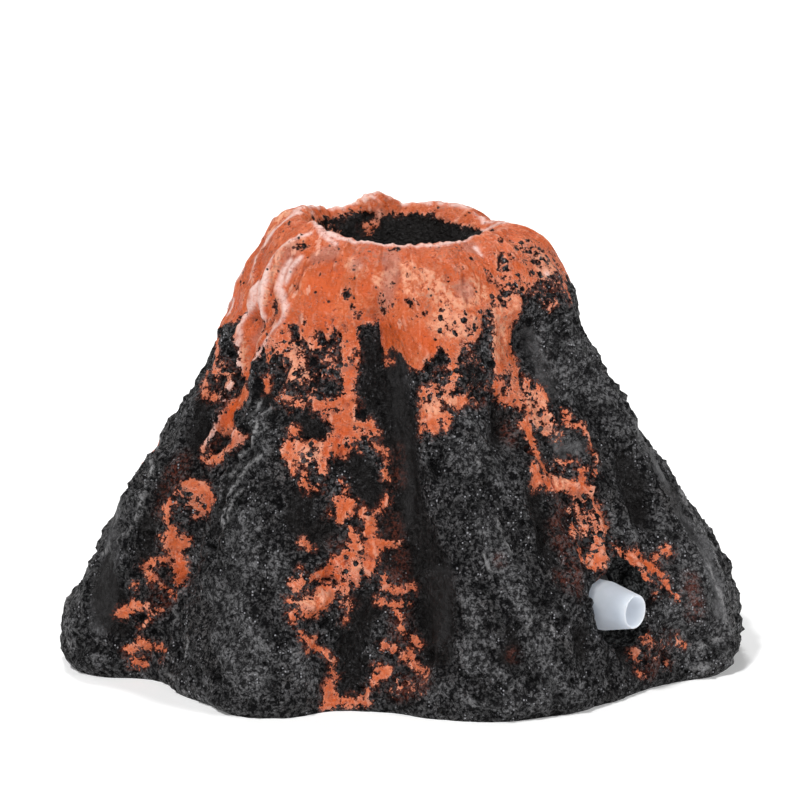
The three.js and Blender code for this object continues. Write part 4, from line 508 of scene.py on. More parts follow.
# painted sheen: the paint goes nearly white along ridges and the lip of the rim
PAINTED_SHEEN = read_paths("""
    198.7 25.68 .15, 148 24.9 .29, 142.2 24.58 .29, 131.5 23.99 .29, 126.5 23.81 .23;
    335.3 26.08 .2, 338.6 25.47 .2, 343 25.02 .18; 184.8 25.16 .23, 173.4 23.9 .23,
    175.5 23.01 .32, 178.8 21.9 .32, 176.2 20.83 .44, 173.3 19.92 .38; 145 24.02 .22,
    148.3 23.27 .26, 151 22.64 .29, 152.5 22.09 .47, 152.3 21.43 .53, 151.7 20.47 .61,
    150.9 19.44 .64, 149.9 18.72 .56, 147.8 18.31 .35; 145 21.97 .2, 145.8 21.12 .29,
    144.5 20.17 .35, 140.5 19.61 .35, 136.3 19.18 .32, 136.9 18.7 .2, 140.8 18.09 .2,
    143.5 17.27 .26, 146.4 16.76 .26, 146.5 16.27 .18; 154.7 19.06 .23, 160.9 18.16 .2,
    159.9 17.49 .2, 159.4 16.81 .22, 158.9 16.33 .22, 156.9 15.87 .26; 157.1 15.12 .18,
    157.7 14.52 .18, 157.6 13.83 .19, 156.6 13.16 .16, 155.9 12.22 .13; 142.7 14.63 .15,
    143.5 13.98 .13, 144.4 12.73 .12; 238.4 24.61 .2, 245.7 24.61 .23, 252.1 25.34 .18;
    16.2 19.1 .23, 11.3 18.58 .23; 47.5 24.16 .18, 48.8 23.46 .18; 24.7 21.1 .23,
    24.5 20.68 .2; 22.3 21.99 .2; 46.3 14.12 .12, 44.4 13.37 .12; 182.7 25.2 .35,
    173.4 23.9 .5, 173.4 22.94 .61, 178.1 21.86 .67, 176 20.96 .61, 172.9 20.18 .5;
    154.6 19.99 .44, 154 19.07 .47, 161.3 18.15 .41; 151.7 20.47 .7, 150.8 19.38 .73,
    149.9 18.72 .61; 141.3 22.44 .23, 143.4 21.5 .26, 142.6 20.61 .23; 178.9 18.41 .23,
    178.2 17.7 .23; 318.6 26.69 .12; 350 25 .25, 348.2 24.67 .27, 346.4 25.08 .26,
    344.6 25.17 .19, 342.8 24.74 .16, 341 24.95 .24; 336 24.92 .21, 332.4 25.13 .17,
    328.8 25.19 .26, 325.2 24.98 .3, 321.6 24.79 .19, 318 24.84 .17; 313 24.84 .27,
    309.6 24.97 .21, 306.2 25 .18, 302.8 25.14 .19, 299.4 24.8 .19, 296 25.06 .31;
    290 25.12 .17, 285.6 24.9 .23, 281.2 24.78 .33, 276.8 24.68 .25, 272.4 25.11 .34,
    268 24.74 .24; 262 25.1 .17, 258.8 24.79 .32, 255.6 24.73 .23, 252.4 24.83 .24,
    249.2 24.7 .17, 246 25.25 .3; 240 25.09 .2, 236.4 24.8 .26, 232.8 24.8 .24,
    229.2 25.21 .23, 225.6 24.85 .34, 222 25.02 .17; 217 24.89 .28, 213.4 24.69 .22,
    209.8 25.07 .32, 206.2 25 .32, 202.6 24.93 .23, 199 25.16 .23; 194 25.12 .2,
    191.2 24.86 .19, 188.4 24.98 .19, 185.6 24.77 .2, 182.8 24.93 .22, 180 24.92 .34;
    250.3 24.22 .26, 247.8 20.24 .41, 245.8 17.56 .21; 284.5 23.86 .32, 287.7 20.13 .28,
    285.8 16.79 .48; 309.8 24.16 .42, 312.7 19.71 .3, 313.8 17.05 .46; 214.7 24.16 .36,
    212.3 20.44 .27, 211.3 17.49 .38; 339.3 23.89 .33, 341.1 20.28 .41, 344.6 17.84 .4;
    185.4 23.82 .28, 184.3 20.44 .32, 181.6 17.14 .29; 325.8 23.83 .21, 327.2 21.08 .37;
    200.5 24.29 .29, 199.3 21.75 .26, 201.3 19.1 .49; 268.6 23.44 .39, 265.3 21.36 .32;
    150 25 .34, 141.7 24.8 .4, 134.8 24.6 .4, 127.4 24.4 .36, 120 24.55 .26, 112 24.85 .3,
    106 24.98 .42, 100 24.9 .46, 95 24.78 .34, 88 24.78 .24, 82 24.7 .22, 74 24.6 .24,
    68 24.55 .26, 61 24.75 .26, 53 24.95 .26, 44 25.15 .24, 36 25.2 .2""")
# sunken rock, also painted darker as painted shade
HOLLOWS = read_paths("""
    97.8 17.87 1.9, 94 15.33 2.49, 91.5 13.55 2.78, 89.8 11.73 2.49, 87.5 9.96 2.78,
    84.8 8.15 3.51, 84.8 6.38 3.95, 84.9 4.6 3.65, 86.8 3.46 1.46; 57.1 14.98 .88,
    57.3 14.15 1.17, 60.4 13.45 .73; 52.1 11.15 1.17, 53.2 9.88 1.46, 53.6 8.77 1.17,
    53.8 7.89 .58; 67.5 4.87 1.17, 66.9 4.21 1.17, 69.4 3.82 1.02; 36.9 3.6 1.46,
    35.3 2.91 1.02; 51.4 4.46 1.02, 51.1 3.56 .88; 20 11.47 1.32, 20.1 10.07 1.9,
    21.1 8.86 1.61; 117.6 11.06 1.32, 116.3 9.83 2.05, 113 8.93 1.32; 110.2 9.35 1.46;
    102.1 11.55 1.61, 98.6 10.89 1.75; 101.6 5.85 2.19, 104.1 4.27 1.61, 103.2 2.76 1.9,
    103.5 1.7 1.32; 121.5 13.92 1.75; 155 12.65 .88; 161.6 14.01 1.32, 159.2 12.41 1.9;
    163 8.19 1.17, 161.8 6.46 1.17; 170.5 6.03 1.9, 164.2 4.31 2.63, 162.2 3.27 1.46;
    161.7 9.91 1.02; 93.2 9.88 1.75, 93.7 8.01 1.75; 73.8 2.4 1.17; 80.6 1.77 1.17;
    140.3 11.66 .32, 141.3 10.87 .35, 140.2 9.87 .32, 141.4 8.75 .32; 139.5 15.26 1.17,
    134.5 14.27 .73; 105.1 17.85 1.17, 102.3 15.29 1.17; 106.2 12.78 1.46, 102.6 12.1 1.46;
    29.3 7.05 1.17; 27.8 4.65 .88, 26.2 3.6 .88; 265.1 19 1.96, 269.7 16 2.09, 271.6 12 1.71,
    270.8 8 2.06, 269.3 4 2.27, 270.5 2 1.64; 231.7 18.6 1.82, 228.3 14.6 1.98,
    226.4 10.7 1.95, 225.4 6 1.42, 224.8 2 1.76; 317.1 18 1.98, 319.1 14 2.09, 322.2 10 2.06,
    320.7 5.3 1.82, 321 2 1.92; 352.8 15 1.38, 353.5 10 1.45, 352.4 5 1.31; 196.2 16 1.65,
    193.7 11 1.38, 195.9 5 1.52""")
# raised rock, also painted lighter as painted light
CRESTS = read_paths("""
    175.6 9.67 .44, 171.8 7.43 .44, 173.4 5.16 .44, 171.5 3.57 .58, 167.7 2.09 .73,
    162.8 1.39 .58, 157.5 1.32 .44; 129.3 9.49 1.75, 129.4 7.75 3.22, 130.7 4.98 3.8,
    122.3 3.1 3.8; 113.8 3.54 1.75, 111.6 1.9 1.46; 74.9 13.16 1.32, 71.4 12.07 1.32;
    69.9 9.86 1.32, 67 9.09 1.46, 66.9 7.85 1.32, 65.4 6.31 1.32, 61.8 4.54 1.9,
    60 3.05 2.19, 57.4 2.08 1.46; 76.2 6.43 1.02, 75 4.7 1.02; 68.3 14.06 1.02,
    71.7 14.58 1.17; 18.4 14.78 1.17, 15 13.21 1.75, 7.1 11.24 1.32, 1.4 9.53 1.02,
    8.9 7.91 1.32, 11.7 6.14 1.61, 15 4.05 2.19, 16.6 2.76 1.75; 38.2 13.02 1.17,
    33.8 13.05 .88; 28.4 8.79 1.17, 26.4 8.15 .88; 20 1.44 .58, 12 1.39 .58; 14 16.38 .73;
    67.2 13.35 1.17, 63 11.56 1.46; 84.4 2.15 1.75, 70.1 1.62 1.17, 52.4 1.67 1.17;
    19.2 17.33 1.75, 20.7 15.35 1.9, 19.3 14.12 1.46; 19.5 4.76 2.05, 17.3 2.69 1.75;
    18.2 8.47 1.17, 19 6.59 1.17; 76 4.04 1.75, 70.2 2.89 1.46; 136.7 6.14 2.05;
    120.2 8.03 1.17, 118.8 6.28 1.17; 143.8 .89 .58, 125.5 1.25 .58; 137.6 13.73 1.46,
    131.8 12.54 1.32; 15.5 6.36 2.05, 14.9 4.51 2.63, 16.5 2.65 2.34; 9.9 12.32 1.75,
    11 10.4 1.46; 39.1 12.58 1.02, 34.7 12.63 1.02; 18.2 6.08 2.05, 16.3 4.6 2.92,
    15.4 3.1 2.63, 18 1.92 2.05; 31.6 5.29 .15; 23.6 6.83 1.46, 24 5.42 1.46; 11 16.57 1.75,
    17.5 14.98 1.75; 20 1.96 1.46, 14 1.97 1.46; 17.6 16.51 1.9, 19.3 14.58 2.05,
    17.9 12.89 1.75; 20.7 18.15 1.32, 21.7 16.9 1.32; 17.7 5.15 2.34, 15.2 3.59 2.34,
    18.6 2.2 2.05; 30.4 17.68 1.75, 28.9 16.39 2.05, 27.4 15.01 2.05; 26.7 3.88 2.05,
    20.3 2.78 2.34, 15.3 3.5 2.05; 23.7 4.95 1.46, 17.7 5.15 1.75; 250.5 16 2.07,
    247.6 12 1.78, 245.1 8 2.36, 247.5 3 1.73; 297.6 16 1.38, 298.5 12 2.1, 301.2 8 1.88,
    304.9 3 1.55; 206.8 16 1.37, 205.7 12 1.38, 200 7 1.77; 337.6 15 1.54, 342 11 2.11,
    345.2 6 2.07; 284.2 10 2.13, 287.9 5 1.5; 217.4 9 2.2, 215.3 4 1.98; 328.8 8 1.73,
    332.9 3 1.88; 254.6 6 1.86, 259 2.5 1.79; 185.5 12 1.28, 189 6 1.56""")
# thin ridges on the rock, with a painted highlight along them
LIT_RIDGE_LINES = read_paths("""
    171.5 11 .23, 166.3 10.59 .19, 164.9 9.89 .19, 164.5 9.23 .23, 164.5 8.58 .19,
    165.5 7.93 .18, 169.1 7.08 .18, 173.4 6.27 .18; 137.8 12.3 .18, 140.8 11.52 .18,
    143.1 10.96 .18, 141.6 10.3 .15; 131 12.34 .18, 133.7 11.76 .18, 135.6 10.97 .2,
    136.7 10.36 .18, 137 9.5 .2, 136.7 8.88 .18; 134.3 14.73 .15, 136.2 14.13 .15,
    136.3 13.31 .16, 135.5 12.67 .15; 132.9 10.67 .15, 134.7 9.98 .13, 134.7 9.34 .13;
    156.2 4.89 .15, 153.4 3.87 .16, 142.9 3.62 .19, 142.8 2.61 .16; 154.5 7.03 .18,
    155.2 5.86 .18, 155.1 4.74 .15; 354.2 9.73 .18, 4.8 8.94 .26, 8.6 7.41 .2, 11.7 6.14 .2,
    9.3 4.86 .2; 3.9 5.45 .18, 5.1 4.36 .18, 8.7 3.51 .15; 5.1 9.1 .23, 3 8.15 .2;
    70.2 13.01 .15, 69.1 12.22 .13; 65.6 9.81 .13, 64.5 8.94 .13, 63.5 8.23 .12;
    70.4 8.39 .13, 70.1 7.67 .13; 177.5 3.67 .18, 171.8 2.78 .18, 168.8 1.75 .18;
    154.5 1.47 .18, 148 1.35 .18, 142 .68 .2; 139.2 14.61 .12, 139.4 13.69 .12;
    18.6 2.2 .2, 16.6 2.66 .26, 12.3 2.55 .2; 115.8 6.74 .12; 34.9 7.29 .2, 32.5 7.23 .18;
    64.4 5.12 .15, 63.3 5.53 .12; 60.1 5.22 .13, 57.9 4.91 .13; 68 2.38 .13, 66.3 2.63 .13;
    37 7.1 .18, 34.8 7.24 .23, 32.9 7.25 .23, 30.3 7.01 .2; 14.2 6.27 .15, 14.4 5.4 .18,
    14 4.44 .18, 14.1 3.26 .18; 18.1 2.46 .2, 15.5 2.6 .23, 10.7 2.63 .23; 20 1.28 .18,
    17 1.43 .18, 12.3 1.3 .18; 224 8.24 .21, 223.7 7.51 .18, 221.6 6.82 .15, 218.8 6.15 .23,
    215.7 5.14 .23; 193.2 8.3 .22, 192.8 7.24 .19, 191.4 6.22 .18, 190 5.21 .21, 190.5 4.4 .2;
    325.3 15.42 .21, 325.2 14.58 .18, 323.8 13.83 .2, 323.4 13.19 .17, 325.3 12.05 .23;
    355 5.63 .18, 353.5 4.94 .17, 353.7 4.15 .16, 352.2 2.99 .22, 349.3 2.18 .22;
    233.3 10.09 .23, 235.7 9.05 .16, 237.7 8.21 .18, 240.1 7.28 .14, 239.8 6.57 .17;
    185.7 12.36 .16, 184 11.39 .14, 183 10.64 .15, 181.5 9.81 .18, 178.8 9.15 .24;
    218.7 16.27 .23, 220 15.42 .24, 218.7 14.58 .18, 218.8 13.65 .22, 217.8 12.68 .21;
    212.8 5.35 .13, 210.2 4.65 .19, 210 3.83 .22, 210 3.03 .22, 208.7 2.4 .21;
    254.1 15.44 .19, 257 14.4 .15, 260.4 13.71 .17, 263 12.86 .17, 266.1 12.1 .2;
    324.1 9.74 .19, 323.4 8.92 .2, 322.3 7.8 .15, 321 7.12 .14, 319.1 6.09 .15;
    242.1 10.6 .14, 240.6 9.7 .24, 240 8.89 .18, 238.4 7.75 .24, 236.8 6.65 .15;
    252.8 14.18 .17, 252.9 13.4 .2, 252.1 12.26 .15, 251.1 11.53 .2, 249.1 10.37 .23;
    331.3 13.17 .2, 329.6 12.24 .19, 329.6 11.15 .19, 330.3 10.28 .13, 330.2 9.42 .2;
    261.3 12.71 .23, 259.9 11.58 .14, 261.5 10.7 .24, 261.4 9.67 .18, 263.5 8.64 .16;
    330.4 13.44 .18, 332.7 12.36 .19, 336 11.46 .23, 339.3 10.79 .15, 339.9 9.78 .16;
    295 5.96 .15, 295 4.9 .17, 296.4 4.14 .14, 298.3 3.05 .13, 301 2.12 .17""")
# a haze of red on the rock
HAZE = read_paths("""
    43.8 10.17 1.17, 48.2 9.1 1.46, 47.6 7.76 1.17, 49.8 6.46 1.02, 53.2 7.08 1.02;
    105.5 8.61 .88, 108 8.62 .73; 160.1 11.14 1.46, 160.7 10.29 1.17, 161.3 8.86 .73;
    18.8 5.66 .88, 19.4 4.28 1.17; 24.7 3.02 1.17, 29.3 1.37 .88; 91.7 1.88 1.75,
    86.4 2.56 1.17; 92.7 9.88 .88, 92.8 8.01 1.17, 92.9 4.39 1.17; 67.5 4.01 .73;
    105.5 6.11 .88; 93.1 13.09 .73, 92.7 11.7 .88; 54.8 13.99 .73, 55.9 13.31 .58;
    146.1 12.72 1.17; 67.2 8.09 .44; 118.8 17.26 1.17; 157.7 4.78 1.46; 339.6 10.83 1.8,
    341 9.13 1.5; 333.6 14.8 1.8, 335.1 13.1 1.5; 322.8 5.93 1.8, 323.7 4.23 1.5;
    311.6 15.52 1.8, 313.2 13.82 1.5; 301.8 8.81 1.8, 302.4 7.11 1.5; 278.9 12.38 1.8,
    277.7 10.68 1.5; 269.1 4.28 1.8, 267.6 2.58 1.5; 254.1 14.28 1.8, 254.2 12.58 1.5;
    238.9 7.82 1.8, 239.9 6.12 1.5; 226.1 11.26 1.8, 227.6 9.56 1.5; 209.3 5.38 1.8,
    207.3 3.68 1.5; 202.6 13.51 1.8, 202 11.81 1.5; 188.8 9.94 1.8, 188.9 8.24 1.5""")
# deeper orange paint
DEEP = read_paths("""
    81.9 18.38 .88, 80.2 17.58 .88; 123 18.96 1.75; 107.5 21.35 .58, 106 20.92 .44;
    109 13.46 1.46; 156.3 6.74 1.17, 155.9 6.05 1.02; 91.7 21.81 .88; 60.4 20.07 .58;
    93.6 18.52 1.17; 142.4 14.55 .58; 154.2 14.27 .73, 155.8 13.58 .58; 106.1 7.53 1.46;
    109.4 7.77 1.17; 94.9 10.78 .73; 112.7 12.99 .73, 110.6 12.31 .58; 156 17.66 .44,
    155.9 16.65 .44; 47.1 11.13 .88; 176.9 18.46 1.17, 166 18.04 .88; 125.6 21.02 2.34,
    123.9 22.12 1.75, 125.5 19.72 1.75; 341.9 19.75 1.14; 327.4 19.99 1.38;
    316.5 21.69 1.14; 308.3 21.8 1.06; 298.4 19.34 1.7; 287 19.17 1.15; 261.3 19.21 1.14;
    255.6 21.05 1.62; 238.7 19.76 1.02; 226.6 19.66 1.24; 207.6 20.42 1.2; 196.1 22.14 1.18;
    187 21.13 1.11""")
# duller paint
DULL = read_paths("""
    96.9 23.6 1.17, 95.4 22.2 1.02, 97.6 20.53 .88; 146.6 22.7 .88, 143.9 21.01 .73,
    141.9 21.98 .73; 112.7 22.79 .88; 51.1 24.17 1.17; 64.8 20.89 1.17; 254.4 27.04 .88;
    127.2 23.28 1.17, 133.1 22.69 .88; 150.5 18.24 .88, 154.4 17.24 .73; 140.5 12.78 .88;
    352.9 23.01 .88; 341.9 21.23 .78; 330.9 22.99 1.29; 316.7 22.97 .78; 303.7 21.22 .93;
    291.8 21.75 .83; 274.1 22.56 .76; 261.7 21.92 .93; 250 23.44 1.18; 232.5 21.77 .86;
    218.7 21.61 1.26; 206.5 23.33 1.29; 195.2 22.93 1.17""")
# calmer rock, with less fine relief
CALM_ZONES = read_paths("""
    93.1 17.57 1.75, 92.2 16.24 1.9, 90.8 14.43 1.75, 89.6 12.18 1.46, 88.7 9.94 1.17;
    177.7 8.61 2.92, 168.4 6.15 2.63, 164.4 3.58 2.05; 81.6 7.3 2.05, 83.9 5.07 2.05;
    36 17.86 1.17, 36.1 16.94 1.17, 35.5 15.91 1.17, 34.6 14.93 1.02; 9.9 12.32 1.46,
    12.7 7.12 1.46, 15 4.05 1.46; 39.7 12.89 1.02, 37.5 12.43 1.32, 33.4 12.53 1.02;
    345 12 2.4, 345.8 10 2.4; 310 7 2.8, 307.1 4.25 2.8; 292 14 2.2, 293.3 11.63 2.2;
    262 9 2.4, 263.4 6.2 2.4; 236 14 2.2, 234.1 12.45 2.2; 220 6 2.8, 217.6 4.1 2.8;
    205 14 2, 203.2 11.51 2""")

# --------------------------------------------------------------- the surface
LAST = len(SECTION) - 1


def spline(p0, p1, p2, p3, t):
    """Catmull-Rom from p1 to p2."""
    return 0.5 * (2 * p1 + (-p0 + p2) * t + (2 * p0 - 5 * p1 + 4 * p2 - p3) * t * t
                  + (-p0 + 3 * p1 - 3 * p2 + p3) * t**3)


def around(table, bearing):
    """A table spread evenly round the circle, read at bearings."""
    count = len(table)
    at = (np.asarray(bearing, float) % 360) * count / 360
    first = np.floor(at).astype(int)
    return spline(*[table[(first + k) % count] for k in (-1, 0, 1, 2)], at - first)


def smooth(value, start, end):
    """A soft step from 0 at start to 1 at end."""
    t = np.clip((np.asarray(value, float) - start) / (end - start), 0, 1)
    return t * t * (3 - 2 * t)


def section(place):
    place = np.asarray(place, float)
    first = np.clip(np.floor(place).astype(int), 0, LAST - 1)
    rows = [SECTION[np.clip(first + k, 0, LAST)] for k in (-1, 0, 1, 2)]
    row = spline(*rows, (place - first)[..., None])
    return row[..., 0], row[..., 1], np.clip(row[..., 2], 0, 1), np.clip(row[..., 3], 0, 1)


def outline(bearing, z):
    upper = smooth(z, 4, 52)
    return around(FOOT_OUTLINE, bearing) * (1 - upper) + around(CONE_OUTLINE, bearing) * upper


def flank_centre(z):
    x = np.full(np.shape(z), FLANK_CENTRE_X)
    for height, half, shift in FLANK_LEAN:
        x = x + shift * np.exp(-(((z - height) / half) ** 2))
    return x


def plain(bearing, place):
    """Points of the surface before sculpting."""
    bearing, place = np.broadcast_arrays(np.asarray(bearing, float), np.asarray(place, float))
    radius, z, flank, rim = section(place)
    mouth = 1 + (around(MOUTH_OUTLINE, bearing) - 1) * smooth(z, 46, 60)
    factor = outline(bearing, z) * flank + mouth * (1 - flank)
    turn = np.radians(bearing)
    x = flank_centre(z) * flank + radius * factor * np.cos(turn)
    y = -radius * factor * np.sin(turn)
    return np.stack([x, y, z + around(RIM_RISE, bearing) * rim], -1)


def normal_at(bearing, place):
    up = plain(bearing, np.minimum(place + 0.02, LAST)) - plain(bearing, np.maximum(place - 0.02, 0))
    normal = np.cross(up, plain(bearing + 0.5, place) - plain(bearing - 0.5, place))
    return normal / np.linalg.norm(normal, axis=-1, keepdims=True)


def path_distance(points, path, widths=None):
    """Least distance to the path, or with widths the greatest width minus distance."""
    if len(path) == 1:
        away = np.linalg.norm(points - path[0], axis=1)
        return away if widths is None else widths[0] - away
    best = np.full(len(points), 1e9 if widths is None else -9.0)
    for i in range(len(path) - 1):
        leg = path[i + 1] - path[i]
        t = np.clip(((points - path[i]) @ leg) / max(leg @ leg, 1e-9), 0, 1)
        away = np.linalg.norm(points - path[i] - t[:, None] * leg, axis=1)
        if widths is None:
            best = np.minimum(best, away)
        else:
            best = np.maximum(best, widths[i] + (widths[i + 1] - widths[i]) * t - away)
    return best


def near_path(points, path, reach):
    """Indices of the points in a ball that holds the path with some reach round it."""
    centre = path.mean(0)
    ball = np.linalg.norm(path - centre, axis=1).max() + reach
    return np.where(np.linalg.norm(points - centre, axis=1) < ball)[0]


STROKE_PATHS = [(height, half, plain(path[:, 0], path[:, 1])) for height, half, path in STROKES]


def sculpt(points):
    height = np.zeros(len(points))
    for stroke, half, path in STROKE_PATHS:
        height += stroke * np.exp(-((path_distance(points, path) / half) ** 2))
    return height


def surface(bearing, place):
    """Sculpted points and their normals."""
    bearing, place = np.asarray(bearing, float).ravel(), np.asarray(place, float).ravel()
    base, normal = plain(bearing, place), normal_at(bearing, place)
    height = sculpt(base) * (1 - smooth(place, 26, 29))
    points = base + normal * height[:, None]
    # the foot stays level
    lifted = np.maximum(0.05, base[:, 2] + normal[:, 2] * height * smooth(place, 0, 3))
    points[:, 2] = np.where(place <= 0, 0, lifted)
    return points, normal


# -------------------------------------------------------------------- noises
def lattice_hash(corner, seed):
    ix, iy, iz = corner.T.astype(np.uint32)
    mixed = (ix * np.uint32(374761393)) ^ (iy * np.uint32(668265263)) ^ (iz * np.uint32(2246822519))
    mixed = mixed + np.uint32((seed * 3266489917) & 0xFFFFFFFF)
    mixed ^= mixed >> np.uint32(15)
    mixed *= np.uint32(2654435761)
    mixed ^= mixed >> np.uint32(13)
    mixed *= np.uint32(1274126177)
    mixed ^= mixed >> np.uint32(16)
    return mixed


def hash_vector(mixed):
    """Three numbers from 0 to 1023 out of each hash."""
    return np.stack([(mixed >> np.uint32(shift)) & np.uint32(1023) for shift in (0, 10, 20)], -1)


def in_lattice(points, scale):
    at = points / scale + 1000.0
    base = np.floor(at).astype(np.int64)
    return base, at - base


def noise3(points, scale, seed):
    """Gradient noise, about -1 to 1, with features of about the scale in mm."""
    base, part = in_lattice(points, scale)
    ease = part * part * part * (part * (part * 6 - 15) + 10)
    total = 0
    for corner in product((0, 1), repeat=3):
        corner = np.array(corner)
        gradient = hash_vector(lattice_hash(base + corner, seed)) / 511.5 - 1
        weight = np.where(corner == 1, ease, 1 - ease).prod(-1)
        total = total + weight * (gradient * (part - corner)).sum(-1)
    return total * 1.5


def fbm(points, scale, seed, octaves=3):
    total, share = 0, 1.0
    for k in range(octaves):
        total = total + share * noise3(points, scale / 2**k, seed + 17 * k)
        share *= 0.5
    return total


def turned_frame(points, k):
    """Points in a frame turned oddly, so that no two noises share their grain."""
    axis = Vector((0.3 + 0.2 * k, 0.8 - 0.37 * k, 0.5 + 0.11 * k)).normalized()
    return points @ np.array(Matrix.Rotation(0.7 + 1.3 * k, 3, axis)).T


def cells(points, scale, seed):
    """Distances to the two nearest scattered points, in cells, and a number for the cell."""
    base, part = in_lattice(points, scale)
    nearest = np.full(len(points), 9.0)
    second = np.full(len(points), 9.0)
    number = np.zeros(len(points))
    for corner in product((-1, 0, 1), repeat=3):
        corner = np.array(corner)
        mixed = lattice_hash(base + corner, seed)
        away = np.linalg.norm(hash_vector(mixed) / 1023.0 + corner - part, axis=1)
        closer = away < nearest
        second = np.where(closer, nearest, np.minimum(second, away))
        nearest = np.where(closer, away, nearest)
        number = np.where(closer, ((mixed >> np.uint32(7)) & np.uint32(4095)) / 4095.0, number)
    return nearest, second, number


def ridged(points, scale, seed, slope, power):
    """Ridges where a noise crosses zero, from 0 to 1."""
    return np.clip(1 - slope * np.abs(noise3(points, scale, seed)), 0, 1) ** power


def scattered_pits(points, scale, seed, share, radius, softness):
    """Pits in a share of the cells, 1 at their middles."""
    nearest, _, number = cells(points, scale, seed)
    return np.where(number < share, smooth(radius - nearest, 0, softness), 0)


# ------------------------------------------------------------------ the grid
FINE = 1.0
COLUMNS = int(570 * FINE)
# grid step down the section: place, step in mm
ROW_STEPS = np.array([
    (0, 0.62), (2, 0.62), (15, 0.60), (17, 0.5), (21, 0.46), (23, 0.36), (26.5, 0.36), (28, 0.8),
    (LAST, 1.1),
])


def column_bearings():
    """Bearings round the axis, closer together at the front."""
    bearing = np.arange(0, 360, 0.25)
    density = 1.0 + 1.15 * smooth(np.sin(np.radians(bearing)), -0.35, 0.05)
    total = np.concatenate([[0], np.cumsum(density)])
    wanted = np.arange(COLUMNS) / COLUMNS * total[-1]
    return np.interp(wanted, total, np.concatenate([bearing, [360.0]]))


def row_places():
    place = np.linspace(0, LAST, 3000)
    radius, z, _, _ = section(place)
    length = np.hypot(np.diff(radius), np.diff(z))
    wanted = np.interp(place[1:], ROW_STEPS[:, 0], ROW_STEPS[:, 1]) / FINE
    total = np.concatenate([[0], np.cumsum(length / wanted)])
    return np.interp(np.linspace(0, total[-1], int(total[-1])), total, place)


COLUMN_BEARINGS = column_bearings()
ROW_PLACES = row_places()
BEARING, PLACE = (grid.ravel() for grid in np.meshgrid(COLUMN_BEARINGS, ROW_PLACES))
BODY, NORMALS = surface(BEARING, PLACE)


# ---------------------------------------------------- paint and fine relief
FAR = -3.0  # what a point away from every mark reads


def inside_marks(table, reach=3.0):
    """How far each grid point lies inside the nearest mark, in mm."""
    inside = np.full(len(BODY), FAR)
    for marks in table:
        path, _ = surface(marks[:, 0], marks[:, 1])
        widths = marks[:, 2]
        near = near_path(BODY, path, widths.max() + reach)
        inside[near] = np.maximum(inside[near], path_distance(BODY[near], path, widths))
    return inside


def paint_depth(gap):
    """How far each grid point lies inside the paint, in mm, within 3 either way."""
    edge = PAINT_EDGE.copy()
    edge[:, 0] %= 360
    edge = edge[np.lexsort((edge[:, 1], edge[:, 0]))]
    bearings = np.concatenate([edge[:, 0] - 360, edge[:, 0], edge[:, 0] + 360])
    lower = np.interp(BEARING % 360, bearings, np.tile(edge[:, 1], 3))
    upper = np.clip(BODY[:, 2] - lower, -3, 3)
    upper = np.minimum(upper, (around(LIP_EDGE, BEARING) - PLACE) * 1.6)
    return np.minimum(np.maximum(upper, inside_marks(PAINT)), -gap)


GAP = inside_marks(GAPS, reach=1.5)
# table of marks, and the depths inside a mark, in mm, where its effect starts and is full
MARKED = {
    "speck": (SPECKLED, -1.5, 1.0),
    "pale": (PALE, -0.55, 0.15),
    "worn": (PAINTED_SHEEN, -0.40, 0.22),
    "deep": (DEEP, -0.8, 0.4),
    "dull": (DULL, -0.8, 0.4),
    "hollow": (HOLLOWS, -1.5, 0.9),
    "crest": (CRESTS, -1.5, 0.9),
    "line": (LIT_RIDGE_LINES, -0.26, 0.08),
    "haze": (HAZE, -1.2, 1.0),
    "calm": (CALM_ZONES, -1.5, 1.0),
}
FIELDS = {
    name: smooth(inside_marks(table), start, full) for name, (table, start, full) in MARKED.items()
}
FIELDS["paint"] = paint_depth(GAP)
FIELDS["calm"] = np.maximum(FIELDS["calm"], smooth(PLACE, 26.5, 28))
# painted light on the crests and painted shade in the hollows
FIELDS["wash"] = FIELDS["crest"] - FIELDS["hollow"]


